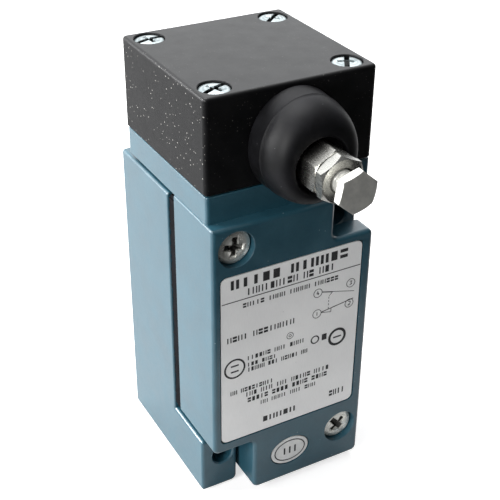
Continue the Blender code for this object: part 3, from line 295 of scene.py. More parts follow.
def foilFinish():
    # satin metallised label stock: fine upright grain and a few handling marks
    look = {"dark": (0.80, 0.80, 0.80), "pale": (0.90, 0.90, 0.895), "grain": 1.6,
            "grainStretch": (6.0, 1.0, 0.35), "grainShare": 0.4, "cloud": 0.07,
            "marks": (0.25, 0.25, 0.25), "markSpecks": (0.5, 0.06, 0.2), "markStrength": 0.35,
            "roughness": (0.36, 0.48), "depth": 0.05}
    foil = Finish("satinFoil")
    grain = foil.noise(look["grain"], 3.0, 0.6, look["grainStretch"])
    cloud = foil.noise(look["cloud"])
    shade = foil.between(grain * look["grainShare"] + cloud * (1 - look["grainShare"]), 0.35, 0.65)
    colour = foil.blend(shade, look["dark"], look["pale"])
    marks = foil.specks(*look["markSpecks"], seed=9.0) * look["markStrength"]
    return foil.set(baseColor=foil.blend(marks, colour, look["marks"]),
                    roughness=foil.between(cloud, 0.3, 0.7, *look["roughness"]),
                    normal=foil.bumped(grain, look["depth"], 0.02))


def inkFinish():
    # printing ink, thinner in places
    look = {"full": (0.010, 0.010, 0.011), "thin": (0.045, 0.045, 0.048), "roughness": (0.45, 0.60)}
    ink = Finish("blackInk")
    patchy = ink.noise(2.4, 4.0, 0.7)
    return ink.set(baseColor=ink.blend(ink.between(patchy, 0.45, 0.8), look["full"], look["thin"]),
                   roughness=ink.between(patchy, 0.3, 0.7, *look["roughness"]))


def vinylFinish():
    # white sticker
    look = {"dark": (0.60, 0.61, 0.61), "pale": (0.72, 0.72, 0.71), "roughness": (0.42, 0.55)}
    vinyl = Finish("whiteVinyl")
    cloud = vinyl.noise(0.5, 4.0, 0.6)
    shade = vinyl.between(cloud, 0.35, 0.7)
    return vinyl.set(baseColor=vinyl.blend(shade, look["dark"], look["pale"]),
                     roughness=vinyl.between(cloud, 0.3, 0.7, *look["roughness"]),
                     normal=vinyl.bumped(vinyl.noise(2.0, 2.0), 0.06, 0.02))


print("finishes")
finishes = {
    "enamel": enamelFinish(),
    "epoxy": epoxyFinish(),
    "bootRubber": rubberFinish("bootRubber", 0.42, 3.0, 0.16),
    "sealRubber": rubberFinish("sealRubber", 0.80, 1.6, 0.05),
    "foil": foilFinish(),
    "ink": inkFinish(),
    "vinyl": vinylFinish(),
    "stainless": metalFinish("milledStainless", {
        "dark": (0.46, 0.455, 0.43), "pale": (0.54, 0.535, 0.505), "roughness": 0.25,
        "spread": 0.04, "scratchScale": 0.8, "scratch": (3.0, 3.0, 0.2), "depth": 0.015}),
    "faced": facedFinish("facedStainless", {
        "dark": (0.52, 0.52, 0.49), "pale": (0.66, 0.65, 0.61), "roughness": 0.36,
        "rings": 26.0, "depth": 0.06, "metallic": 0.50}),
    "zinc": facedFinish("brightZinc", {
        "dark": (0.30, 0.35, 0.36), "pale": (0.66, 0.72, 0.73), "roughness": 0.26,
        "rings": 7.0, "depth": 0.30, "recess": (1.75, 2.4)}),
    "nickel": facedFinish("brightNickel", {
        "dark": (0.56, 0.54, 0.50), "pale": (0.80, 0.78, 0.74), "roughness": 0.20,
        "rings": 12.0, "depth": 0.10}),
    "captiveNickel": facedFinish("polishedNickel", {
        "dark": (0.70, 0.70, 0.65), "pale": (0.93, 0.93, 0.88), "roughness": 0.20,
        "rings": 8.0, "depth": 0.22, "metallic": 0.60, "recess": (1.75, 2.90)}),
    "brass": metalFinish("stripBrass", {
        "dark": (0.55, 0.38, 0.14), "pale": (0.78, 0.60, 0.28), "roughness": 0.26,
        "scratchScale": 1.8, "scratch": (1.0, 5.0, 1.0), "depth": 0.10}),
    "silverBrass": metalFinish("silveredBrass", {
        "dark": (0.62, 0.58, 0.48), "pale": (0.82, 0.80, 0.72), "roughness": 0.24,
        "scratchScale": 1.8, "scratch": (0.6, 5.0, 1.0), "depth": 0.10}),
    "bronze": metalFinish("sinteredBronze", {
        "dark": (0.30, 0.18, 0.08), "pale": (0.52, 0.36, 0.18), "roughness": 0.42,
        "scratchScale": 3.5, "scratch": (1.0, 1.0, 1.0), "depth": 0.35, "stainScale": 1.2}),
    "springSteel": metalFinish("oiledSpringSteel", {
        "dark": (0.14, 0.14, 0.15), "pale": (0.32, 0.32, 0.33), "roughness": 0.28,
        "scratchScale": 2.0, "scratch": (1.0, 1.0, 3.0), "depth": 0.10}),
    "hardSteel": metalFinish("hardenedSteel", {
        "dark": (0.16, 0.16, 0.16), "pale": (0.36, 0.35, 0.34), "roughness": 0.32,
        "scratchScale": 1.6, "scratch": (4.0, 0.6, 4.0), "depth": 0.15}),
    "phenolic": mouldingFinish("darkPhenolic", {
        "dark": (0.020, 0.013, 0.011), "pale": (0.050, 0.034, 0.028), "roughness": 0.38}),
    "acetal": mouldingFinish("naturalAcetal", {
        "dark": (0.62, 0.59, 0.50), "pale": (0.76, 0.74, 0.66), "roughness": 0.34}),
}


def outline(corners, radius, inset=0.0, bend=5):
    # right-angled outline, anticlockwise, with round corners, moved inwards by inset;
    # a corner's third number is a radius of its own
    points = []
    spots = [Vector(corner[:2]) for corner in corners]
    for index, corner in enumerate(corners):
        here = spots[index]
        along = (here - spots[index - 1]).normalized()
        onward = (spots[(index + 1) % len(corners)] - here).normalized()
        own = corner[2] if len(corner) > 2 else radius
        outer = along.x * onward.y - along.y * onward.x > 0
        shifted = here + inset * (Vector((-along.y, along.x)) + Vector((-onward.y, onward.x)))
        reach = max(own - inset if outer else own + inset, 0.02)
        middle = shifted + reach * (onward - along)
        for step in range(bend + 1):
            angle = pi / 2 * step / bend
            point = middle + reach * (along * sin(angle) - onward * cos(angle))
            points.append((point.x, point.y))
    return points


def rectangle(u0, u1, v0, v1):
    return [(u0, v0), (u1, v0), (u1, v1), (u0, v1)]


def ellipse(across, tall, steps, u=0.0, v=0.0, start=0.0):
    return [(u + across / 2 * cos(start + 2 * pi * step / steps),
             v + tall / 2 * sin(start + 2 * pi * step / steps)) for step in range(steps)]


def pieceFrom(name, points, faces):
    mesh = bpy.data.meshes.new(name)
    mesh.from_pydata([tuple(value * mm for value in point) for point in points], [], faces)
    shape = bmesh.new()
    shape.from_mesh(mesh)
    bmesh.ops.recalc_face_normals(shape, faces=shape.faces)
    shape.to_mesh(mesh)
    shape.free()
    piece = bpy.data.objects.new(name, mesh)
    bpy.context.scene.collection.objects.link(piece)
    return piece


def placed(u, v, level, axis):
    # "Y": u is x, v is z and level is a depth. "X": u is y, v is z. "Z": u is x, v is y.
    if axis == "Y":
        return (u, -level, v)
    if axis == "X":
        return (level, u, v)
    return (u, v, level)


def stacked(name, points, count):
    # closed rows of count points, one above another, joined and capped as one solid
    last = len(points) - count
    faces = [list(range(count)), list(range(last, last + count))]
    for row in range(0, last, count):
        for index in range(count):
            following = (index + 1) % count
            faces.append([row + index, row + following,
                          row + count + following, row + count + index])
    return pieceFrom(name, points, faces)


def skinned(name, rings, axis):
    # outlines with equal counts of points, each at its level
    points = [placed(u, v, level, axis) for level, ring in rings for u, v in ring]
    return stacked(name, points, len(rings[0][1]))


def softBlock(name, corners, radius, axis, low, high, softLow=0.0, softHigh=0.0, bend=5):
    # outline pushed from low to high, with its end edges rounded
    rings = []
    for soft, level, way in ((softLow, low, 1), (softHigh, high, -1)):
        steps = bend if soft > 0 else 0
        ends = []
        for step in range(steps + 1):
            angle = pi / 2 * (step / bend if soft > 0 else 1)
            ends.append((level + way * soft * (1 - cos(angle)),
                         outline(corners, radius, soft * (1 - sin(angle)), bend)))
        rings += ends if way > 0 else ends[::-1]
    return skinned(name, rings, axis)


def block(name, points, axis, low, high):
    return skinned(name, [(low, points), (high, points)], axis)


def lathed(name, profile, steps=64, loop=False):
    # (radius, height) points turned about local Z, shut by the axis or by the loop
    points = []
    rows = []
    for radius, height in profile:
        if radius == 0:
            rows.append([len(points)] * steps)
            points.append((0.0, 0.0, height))
            continue
        rows.append(list(range(len(points), len(points) + steps)))
        points += [(x, y, height) for x, y in ellipse(2 * radius, 2 * radius, steps)]
    pairs = list(zip(rows, rows[1:] + rows[:1])) if loop else list(zip(rows, rows[1:]))
    faces = []
    for lower, upper in pairs:
        for step in range(steps):
            following = (step + 1) % steps
            face = []
            for corner in (lower[step], lower[following], upper[following], upper[step]):
                if corner not in face:
                    face.append(corner)
            faces.append(face)
    return pieceFrom(name, points, faces)


def threaded(name, radius, pitch, depth, low, high, steps=48, perTurn=10):
    # rod along local Z with a helical thread cut into it, its ends run out to the root
    rows = max(int((high - low) / pitch * perTurn), 2)
    points = []
    for row in range(rows + 1):
        height = low + (high - low) * row / rows
        fade = min(1.0, min(height - low, high - height) / (pitch * 0.6))
        for step in range(steps):
            turn = (height / pitch - step / steps) % 1.0
            crest = min(1.0, 1.25 * (1 - abs(2 * turn - 1)))
            reach = radius - depth + depth * crest * fade
            angle = 2 * pi * step / steps
            points.append((reach * cos(angle), reach * sin(angle), height))
    return stacked(name, points, steps)


toFront = Matrix.Rotation(radians(90), 4, "X")     # turns local Z to face the front
upright = Matrix.Identity(4)


def settle(piece, x, depth, z, turn=0.0, facing=toFront):
    # puts a piece made about local Z in its place, turned about that axis first
    spot = Matrix.Translation(Vector((x, -depth, z)) * mm)
    piece.matrix_world = spot @ facing @ Matrix.Rotation(radians(turn), 4, "Z")
    return piece


def worked(piece, cuts=(), joined=(), common=()):
    # joins, keeps in common and cuts, with solids that are used up in doing it
    tools = []
    for operation, solids in (("UNION", joined), ("INTERSECT", common), ("DIFFERENCE", cuts)):
        for solid in solids:
            change = piece.modifiers.new(operation, "BOOLEAN")
            change.operation = operation
            change.solver = "EXACT"
            change.object = solid
            tools.append(solid)
    bpy.context.view_layer.update()
    graph = bpy.context.evaluated_depsgraph_get()
    mesh = bpy.data.meshes.new_from_object(piece.evaluated_get(graph))
    piece.modifiers.clear()
    mesh.name = piece.name
    piece.data = mesh
    for solid in tools:
        bpy.data.objects.remove(solid, do_unlink=True)
    return piece


def bore(diameter, low, high, steps, lip):
    # a round cutter from low to high, its far mouth widened by lip
    radius = diameter / 2
    profile = [(0, low), (radius, low), (radius, high - lip), (radius + lip, high),
               (radius + lip, high + over), (0, high + over)]
    return lathed("bore", profile, steps)


def hole(x, z, diameter, low, high, steps=48, lip=0.0):
    # a bore along the depth
    return settle(bore(diameter, low, high, steps, lip), x, 0, z)


def well(x, depth, diameter, low, high, steps=48, lip=0.0):
    # an upright bore
    return settle(bore(diameter, low, high, steps, lip), x, depth, 0, facing=upright)


def dressed(piece, finish, body, stands=(), crease=33):
    # gives a piece its finish and its body, and the nodes it stands in for;
    # edges sharper than crease stay sharp
    mesh = piece.data
    mesh.materials.clear()
    mesh.materials.append(finishes[finish])
    mesh.shade_smooth()
    mesh.set_sharp_from_angle(angle=radians(crease))
    even = piece.modifiers.new("evenNormals", "WEIGHTED_NORMAL")
    even.keep_sharp = True
    even.weight = 90
    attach(piece, body)
    if stands:
        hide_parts(*stands)
    return piece


# places shared by the castings

casting = spans("receptacle_casting")
gasket = spans("body_gasket")
housing = spans("switch_housing")
head = spans("head_housing")
headSide = head["x1"] - head["x0"]
headFront = head["d0"] + headSide
rim = gasket["d0"] - seam               # front of the receptacle's rim
unitBack = gasket["d1"] + seam
unitFront = housing["d1"]
bushing = spans("shaft_bushing")
cavityFront = bushing["d0"]
shaftZ = bushing["z"]
camMiddle = spans("head_plunger")["d"]

unitShape = {"corner": 1.5, "notchX": 9.8, "notchTop": -22.4, "ledgeZ": 28.5,
             "shoulder": 38.6, "pillarEdge": 23.9, "ledgeDepth": 5.4}
chamberShape = {"wide": 17.1, "crown": 8.0, "throat": 10.4, "edge": 21.9, "top": 34.1,
                "bottom": -35.6, "wall": 3.2, "corner": 1.5}
mountShape = {"x": 14.7, "z": 29.75, "bore": 5.3, "pillarX": 10.7, "lip": 0.35}
captiveShape = {"bore": 8.7, "seat": 3.6, "shank": 4.0}
captivePlaces = [(spans(node)["x"], spans(node)["z"])
                 for node in ("captive_screw_upper_left", "captive_screw_lower_right")]
headScrews = ["head_screw_" + corner
              for corner in ("front_left", "front_right", "rear_left", "rear_right")]


def chamberOutline(clear=0.0):
    # the wiring chamber's mouth, grown by clear
    room = chamberShape
    wide, crown, throat = room["wide"] + clear, room["crown"] + clear, room["throat"] + clear
    edge, top, bottom = room["edge"] + clear, room["top"] + clear, room["bottom"] - clear
    return [(-throat, bottom), (throat, bottom), (throat, -edge), (wide, -edge),
            (wide, edge), (crown, edge), (crown, top), (-crown, top), (-crown, edge),
            (-wide, edge), (-wide, -edge), (-throat, -edge)]


# receptacle

def receptacle():
    look = {"edge": 0.45, "backEdge": 0.3, "pillarEdge": 0.8, "crisp": 0.8, "chamberEdge": 0.6,
            "overlap": 2.0, "conduitBore": 20.6, "conduitDepth": 13.0, "threadPitch": 1.81,
            "threadDepth": 0.85, "floor": 4.0, "mouthOut": 0.5, "mouthIn": 0.8, "mouthDeep": 1.3,
            "captiveClear": 0.5, "captiveDeep": 7.6, "captiveLip": 0.4,
            "tapped": 3.5, "tappedFrom": 1.0}
    low, high = casting["z0"], casting["z1"]
    side, front = casting["x1"], casting["d1"]
    corner, pillarEdge, crisp = unitShape["corner"], look["pillarEdge"], look["crisp"]
    outer = [(-side, low, crisp), (side, low), (side, high), (-side, high, crisp)]
    shell = softBlock("receptacle_shell", outer, corner, "Y", 0.0, rim - swell,
                      look["backEdge"], look["edge"])
    pillar, edge = mountShape["pillarX"], unitShape["pillarEdge"]
    leg = [(-side, low, crisp), (-pillar, low), (-pillar, -edge), (-side, -edge, crisp)]
    pillars = [softBlock(name, shape, corner, "Y", rim - look["overlap"], front, 0.0, pillarEdge)
               for name, shape in (("foot", leg), ("ear", rectangle(pillar, side, edge, high)))]
    wall = chamberShape["wall"]
    cuts = [softBlock("chamber", chamberOutline(), chamberShape["corner"], "Y", wall, rim + over,
                      look["chamberEdge"])]
    radius = look["conduitBore"] / 2
    conduit = threaded("conduit", radius, look["threadPitch"], look["threadDepth"],
                       low - 2.0, low + look["floor"] + 2.0, 96, 12)
    mouth = lathed("mouth", [(0, low - over), (radius + look["mouthOut"], low - over),
                             (radius + look["mouthOut"], low),
                             (radius - look["mouthIn"], low + look["mouthDeep"]),
                             (0, low + look["mouthDeep"])], 96)
    for solid in (conduit, mouth):
        cuts.append(settle(solid, 0, look["conduitDepth"], 0, facing=upright))
    for sign in (-1, 1):
        cuts.append(hole(sign * mountShape["x"], sign * mountShape["z"], mountShape["bore"], -over,
                         front, lip=mountShape["lip"]))
    for x, z in captivePlaces:
        cuts.append(hole(x, z, captiveShape["shank"] + look["captiveClear"],
                         rim - look["captiveDeep"], rim, 32, look["captiveLip"]))
    for node in ("block_screw_upper", "block_screw_lower", "ground_screw"):
        cuts.append(hole(0, spans(node)["z"], look["tapped"], look["tappedFrom"], wall, 32))
    worked(shell, cuts, pillars)
    dressed(shell, "enamel", "receptacle", ["receptacle_casting"])


def bodyGasket():
    # sheet rubber pressed out to a slightly uneven edge
    look = {"inset": 0.16, "uneven": 0.36, "step": 0.75, "clear": 0.3, "notch": 9.5, "edge": 22.3,
            "corner": 0.6, "touch": 0.004}
    side = casting["x1"] - look["inset"]
    top = casting["z1"] - look["inset"]
    bottom = housing["z0"] + look["inset"]
    edge, notch = look["edge"], look["notch"]
    corners = outline([(-side, -edge), (-notch, -edge), (-notch, bottom), (side, bottom),
                       (side, edge), (notch, edge), (notch, top), (-side, top)],
                      look["corner"], 0.0, 3)
    path = []
    for index, corner in enumerate(corners):
        here, following = Vector(corner), Vector(corners[(index + 1) % len(corners)])
        parts = max(1, int((following - here).length / look["step"]))
        path += [here.lerp(following, part / parts) for part in range(parts)]
    rings = []
    back, front = gasket["d0"] - swell + look["touch"], gasket["d1"] + swell - look["touch"]
    for level in (back, (back + front) / 2, front):
        ring = []
        for point in path:
            pull = 1 - look["uneven"] * draw.random() / side
            ring.append((point.x * pull, point.y * pull))
        rings.append((level, ring))
    sheet = skinned("body_gasket_sheet", rings, "Y")
    cuts = [block("opening", chamberOutline(look["clear"]), "Y", back - over, front + over)]
    for node in ("retainer_upper_left", "retainer_lower_right"):
        washer = spans(node)
        cuts.append(hole(washer["x"], washer["z"], washer["x1"] - washer["x0"] + 2 * look["clear"],
                         back - over, front + over, 32))
    worked(sheet, cuts)
    dressed(sheet, "sealRubber", "receptacle", ["body_gasket"])


# switch unit

def labelPocket(node, grow):
    # the outline of a flat label, grown all round
    plate = spans(node)
    return rectangle(plate["x0"] - grow, plate["x1"] + grow, plate["z0"] - grow, plate["z1"] + grow)


def switchUnit():
    look = {"edge": 1.0, "backEdge": 0.35, "neckCorner": 0.9, "neckEdge": 0.25, "boreLip": 0.10,
            "shoulder": 0.45, "wall": 2.9, "sideWall": 4.3,
            "neckIn": 0.2, "webIn": 0.6, "webOverlap": 3.0,
            "ledgeBelow": 1.5, "ledgeCorner": 0.6, "ledgeEdge": 0.4, "pastSide": 4.0,
            "cavityClear": 0.4, "cavityCorner": 0.6, "cavityEdge": 0.5,
            "channel": 8.6, "channelTop": 33.5, "channelCorner": 0.8, "stemBore": 3.74,
            "guideBore": 7.6, "guideDeep": 5.0, "pocketDeep": 0.7, "labelCorner": 1.5,
            "stickerClear": 0.6, "shankClear": 0.6, "tapped": 4.5, "tappedDeep": 4.8,
            "sealClear": 0.2, "sealUnder": 0.1, "sealCorner": 3.0, "sealWidth": 1.7,
            "islandCorner": 2.0}
    side, low, top = housing["x1"], housing["z0"], housing["z1"]
    shoulder, notch, ledge = unitShape["shoulder"], unitShape["notchX"], unitShape["ledgeZ"]
    slab = softBlock("switch_unit_shell", [
        (-side, unitShape["notchTop"]), (-notch, unitShape["notchTop"]), (-notch, low),
        (side, low), (side, ledge), (notch, ledge),
        (notch, shoulder), (-side, shoulder, look["shoulder"])], unitShape["corner"], "Y",
        unitBack + swell, unitFront, look["backEdge"], look["edge"])
    half = headSide / 2 - look["neckIn"]
    neck = softBlock("neck", rectangle(-half, half, -headFront, -headFront + 2 * half),
                     look["neckCorner"], "Z", shoulder, top, 0.0, look["neckEdge"])
    web = block("web", rectangle(-half + look["neckCorner"], notch - unitShape["corner"],
                                 shoulder - look["webOverlap"], shoulder + look["webOverlap"]),
                "Y", unitBack + look["webIn"], headFront - look["webIn"])
    cavity = side - look["sideWall"]
    front = unitFront - look["wall"]
    inner, oval, seal = spans("contact_block"), spans("oval_sticker"), spans("head_seal")
    cuts = [
        softBlock("ledge", rectangle(notch, side + look["pastSide"],
                                     unitShape["pillarEdge"] - look["ledgeBelow"],
                                     ledge + look["pastSide"]), look["ledgeCorner"], "Y",
                  unitBack - over, unitFront - unitShape["ledgeDepth"], 0.0, look["ledgeEdge"]),
        softBlock("cavity", rectangle(-cavity, cavity, inner["z0"] - look["cavityClear"],
                                      inner["z1"] + look["cavityClear"]), look["cavityCorner"], "Y",
                  unitBack - over, front, 0.0, look["cavityEdge"]),
        softBlock("channel", rectangle(-look["channel"], look["channel"], inner["z1"] - over,
                                       look["channelTop"]), look["channelCorner"], "Y",
                  unitBack - over, front, 0.0, look["cavityEdge"]),
        well(0, camMiddle, look["stemBore"], look["channelTop"] - over, top),
        well(0, camMiddle, look["guideBore"], top - look["guideDeep"], top),
        softBlock("labelPocket", labelPocket("nameplate", seam), look["labelCorner"], "Y",
                  unitFront - look["pocketDeep"], unitFront + over),
        block("stickerPocket", ellipse(oval["x1"] - oval["x0"] + look["stickerClear"],
                                       oval["z1"] - oval["z0"] + look["stickerClear"], 64,
                                       oval["x"], oval["z"]), "Y",
              unitFront - look["pocketDeep"], unitFront + over)]
    for x, z in captivePlaces:
        cuts.append(hole(x, z, captiveShape["bore"], unitFront - captiveShape["seat"], unitFront,
                         64, look["boreLip"]))
        cuts.append(hole(x, z, captiveShape["shank"] + look["shankClear"], unitBack - over,
                         unitFront - over, 32))
    for node in headScrews:
        screw = spans(node)
        cuts.append(well(screw["x"], screw["d"], look["tapped"], top - look["tappedDeep"], top, 32))
    out, width = look["sealClear"], look["sealWidth"]
    groove = softBlock("groove", rectangle(seal["x0"] - out, seal["x1"] + out, -seal["d1"] - out,
                                           -seal["d0"] + out), look["sealCorner"], "Z",
                       seal["z0"] - look["sealUnder"], top + over)
    island = softBlock("island", rectangle(seal["x0"] + width, seal["x1"] - width,
                                           -seal["d1"] + width, -seal["d0"] - width),
                       look["islandCorner"], "Z", seal["z0"] - 2.0, top + 2.0)
    cuts.append(worked(groove, [island]))
    worked(slab, cuts, [web, neck])
    dressed(slab, "enamel", "switch_unit", ["switch_housing"])


# head

def operatingHead():
    look = {"corner": 1.1, "topEdge": 0.75, "bottomEdge": 0.3, "sideWall": 9.4, "rearWall": 5.8,
            "roof": 3.3, "roomCorner": 2.0, "roomEdge": 0.5,
            "boss": 15.0, "bossEdge": 0.4, "throat": 12.6, "shankHole": 4.6, "shankRoof": 1.5,
            "counterbore": 7.0, "seat": 2.5, "lip": 0.12}
    half = headSide / 2
    shell = softBlock("head_shell", rectangle(-half, half, -headFront, -head["d0"]),
                      look["corner"], "Z", head["z0"], head["z1"], look["bottomEdge"],
                      look["topEdge"], 6)
    radius, ease, front = look["boss"] / 2, look["bossEdge"], head["d1"]
    boss = settle(lathed("boss", [(0, cavityFront + ease), (radius, cavityFront + ease),
                                  (radius, front - ease), (radius - ease, front), (0, front)]),
                  0, 0, shaftZ)
    room = half - look["sideWall"]
    cuts = [softBlock("room", rectangle(-room, room, -cavityFront, -head["d0"] - look["rearWall"]),
                      look["roomCorner"], "Z", head["z0"] - over, head["z1"] - look["roof"],
                      0.0, look["roomEdge"]),
            hole(0, shaftZ, look["throat"], cavityFront - over, front, 64)]
    for node in headScrews:
        screw = spans(node)
        cuts.append(well(screw["x"], screw["d"], look["shankHole"], head["z0"] - over,
                         head["z1"] - look["shankRoof"], 32))
        cuts.append(well(screw["x"], screw["d"], look["counterbore"], screw["z1"] - look["seat"],
                         head["z1"], 64, look["lip"]))
    worked(shell, cuts, [boss])
    dressed(shell, "epoxy", "switch_unit", ["head_housing"])


def rubberBoot():
    # a folded cup: flared foot, creased shoulder, dome, then a recess with a lip on the shaft
    look = {"rim": 11.5, "rimReach": 5.1, "crest": 6.8, "recess": 6.2, "recessDepth": 2.3, "lip": 4.9,
            "membrane": 1.5, "hollow": 7.8, "soft": 0.7, "narrow": 0.08, "sag": 1.3,
            "baseIn": 0.6, "baseEase": (0.15, 0.25), "crease": ((0.14, 0.2), (-0.06, 0.5)),
            "fullness": (0.92, 0.96), "crestDrop": 0.6, "recessFoot": ((-0.1, 0.5), (-0.6, 0.0)),
            "lipEase": 0.3, "dome": 20, "wall": 4, "turnIn": 6}
    boot = spans("rubber_boot")
    base, ease = boot["x1"] - look["baseIn"], look["baseEase"]
    height = boot["d1"] - boot["d0"]
    profile = [(base - ease[0], 0.0), (base, ease[1])]
    wall = look["rimReach"] - look["soft"]
    for step in range(1, look["wall"] + 1):
        share = step / look["wall"]
        profile.append((base + (look["rim"] - base) * share, wall * share + ease[1] * (1 - share)))
    profile += [(look["rim"] + out, wall + up) for out, up in look["crease"]]
    for step in range(2, look["dome"] + 1):
        angle = pi / 2 * step / look["dome"]
        reach = look["crest"] + (look["rim"] - look["crest"]) * cos(angle) ** look["fullness"][0]
        profile.append((reach, wall + (height - wall) * sin(angle) ** look["fullness"][1]))
    floor = height - look["recessDepth"]
    for step in range(1, look["turnIn"] + 1):
        angle = pi / 2 * step / look["turnIn"]
        profile.append((look["recess"] + (look["crest"] - look["recess"]) * (1 - sin(angle)),
                        height - look["crestDrop"] * (1 - cos(angle))))
    lip, under = look["lip"], floor - look["membrane"]
    profile += [(look["recess"] + out, floor + up) for out, up in look["recessFoot"]]
    profile += [(lip + look["lipEase"], floor), (lip, floor - look["lipEase"]), (lip, under),
                (look["hollow"], under), (look["hollow"], 0.0)]
    boots = lathed("rubber_boot_skin", profile, 128, loop=True)
    for point in boots.data.vertices:
        # pressed out of round, and fuller above the shaft than below it
        share = (point.co.xy.length / mm - look["recess"]) / (look["rim"] - look["recess"])
        share = min(max(share, 0.0), 1.0)
        point.co.x *= 1 - look["narrow"] * share
        point.co.y += look["sag"] * mm * share
    settle(boots, 0, boot["d0"], shaftZ)
    dressed(boots, "bootRubber", "switch_unit", ["rubber_boot"], 40)


# shaft line

def hexSolid(name, across, turn, low, high, easeLow=0.0, easeHigh=0.0):
    # hexagonal prism along local Z, its corners turned off at either end
    corner = across / 2 / cos(pi / 6)
    prism = block(name, ellipse(2 * corner, 2 * corner, 6, start=radians(turn)), "Z", low, high)
    inner = across / 2 * 0.985
    wide = corner + 1.0
    profile = [(0, low - over)]
    if easeLow:
        profile += [(inner, low - over), (inner, low), (corner, low + easeLow), (wide, low + easeLow)]
    else:
        profile += [(wide, low - over)]
    if easeHigh:
        profile += [(wide, high - easeHigh), (corner, high - easeHigh), (inner, high),
                    (inner, high + over)]
    else:
        profile += [(wide, high + over)]
    profile += [(0, high + over)]
    return worked(prism, common=[lathed("ease", profile, 96)])


def leverShaft():
    look = {"spindle": 3.0, "journal": 4.5, "collar": 6.0, "collarThickness": 1.2, "groove": 2.4,
            "across": 9.4, "angle": 29.0, "hexLength": 6.3, "hexEase": (0.25, 0.35), "bore": 5.3,
            "boreDepth": 14.0, "boreEase": 0.3, "dogLength": 1.2, "dogSpan": 30.0, "dogFrom": -94.0,
            "tailEase": 0.4, "collarEase": 0.15, "grooveClear": 0.15, "overlap": 0.2,
            "dogOverlap": 0.3}
    whole, ring = spans("shaft"), spans("retaining_ring")
    tail, tip = whole["d0"], whole["d1"]
    hexBack = tip - look["hexLength"]
    front = cavityFront - seam
    back = front - look["collarThickness"]
    spindle, collar, groove, journal = (
        look[key] for key in ("spindle", "collar", "groove", "journal"))
    ease, clear, overlap = look["collarEase"], look["grooveClear"], look["overlap"]
    profile = [(0, tail), (spindle - look["tailEase"], tail), (spindle, tail + look["tailEase"]),
               (spindle, ring["d0"] - clear), (groove, ring["d0"] - clear),
               (groove, ring["d1"] + clear), (spindle, ring["d1"] + clear),
               (spindle, back), (collar - ease, back), (collar, back + ease),
               (collar, front - ease), (collar - ease, front), (journal, front),
               (journal, hexBack + overlap), (0, hexBack + overlap)]
    turned = lathed("lever_shaft", profile, 64)
    end = hexSolid("end", look["across"], look["angle"], hexBack, tip, *look["hexEase"])
    first = radians(90.0 - look["dogFrom"] - look["dogSpan"])
    last = radians(90.0 - look["dogFrom"])
    arcs = [(collar - look["dogOverlap"], first, last), (spindle - look["dogOverlap"], last, first)]
    sector = []
    for radius, start, stop in arcs:
        for step in range(7):
            angle = start + (stop - start) * step / 6
            sector.append((radius * cos(angle), radius * sin(angle)))
    dog = block("dog", sector, "Z", back - look["dogLength"], back + overlap)
    radius, wider = look["bore"] / 2, look["bore"] / 2 + look["boreEase"]
    floor = tip - look["boreDepth"]
    drilled = lathed("drilled", [(0, floor), (radius, floor), (radius, tip - look["boreEase"]),
                                 (wider, tip), (wider, tip + over), (0, tip + over)], 48)
    worked(turned, [drilled], [end, dog])
    dressed(settle(turned, 0, 0, shaftZ), "stainless", "lever_shaft", ["shaft"], 24)


def leverNut():
    look = {"across": 9.5, "angle": 34.0, "ease": 0.62, "bore": 5.3, "boreEase": 0.35}
    nut = spans("lever_nut")
    back, front, ease = nut["d0"], nut["d1"], look["boreEase"]
    body = hexSolid("lever_nut_hex", look["across"], look["angle"], back, front, look["ease"],
                    look["ease"])
    radius, wider = look["bore"] / 2, look["bore"] / 2 + ease
    tapped = lathed("tapped", [(0, back - over), (wider, back - over), (wider, back),
                               (radius, back + ease), (radius, front - ease), (wider, front),
                               (wider, front + over), (0, front + over)], 48)
    worked(body, [tapped])
    dressed(settle(body, 0, 0, shaftZ), "stainless", "lever_shaft", ["lever_nut"], 20)


def leverBolt():
    look = {"across": 8.0, "angle": 19.0, "head": 2.1, "ease": (0.18, 0.30), "thread": 5.0,
            "pitch": 0.8, "threadDepth": 0.42, "overlap": 0.6}
    bolt = spans("lever_bolt")
    headBack = bolt["d1"] - look["head"]
    body = hexSolid("lever_bolt_hex", look["across"], look["angle"], headBack, bolt["d1"],
                    *look["ease"])
    rod = threaded("rod", look["thread"] / 2, look["pitch"], look["threadDepth"], bolt["d0"],
                   headBack + look["overlap"])
    worked(body, joined=[rod])
    dressed(settle(body, 0, 0, shaftZ), "faced", "lever_shaft", ["lever_bolt"], 24)


# screws

def cross(arm, half, deep, top):
    # cruciform recess that narrows as it goes down, with flared mouths
    rings = []
    for level, reach, wide in ((top - deep, arm * 0.30, half * 0.55),
                               (top - deep * 0.35, arm * 0.72, half * 0.85),
                               (top, arm, half), (top + over, arm, half)):
        rings.append((level, [(-wide, -reach), (wide, -reach), (wide, -wide), (reach, -wide),
                              (reach, wide), (wide, wide), (wide, reach), (-wide, reach),
                              (-wide, wide), (-reach, wide), (-reach, -wide), (-wide, -wide)]))
    return skinned("cross", rings, "Z")


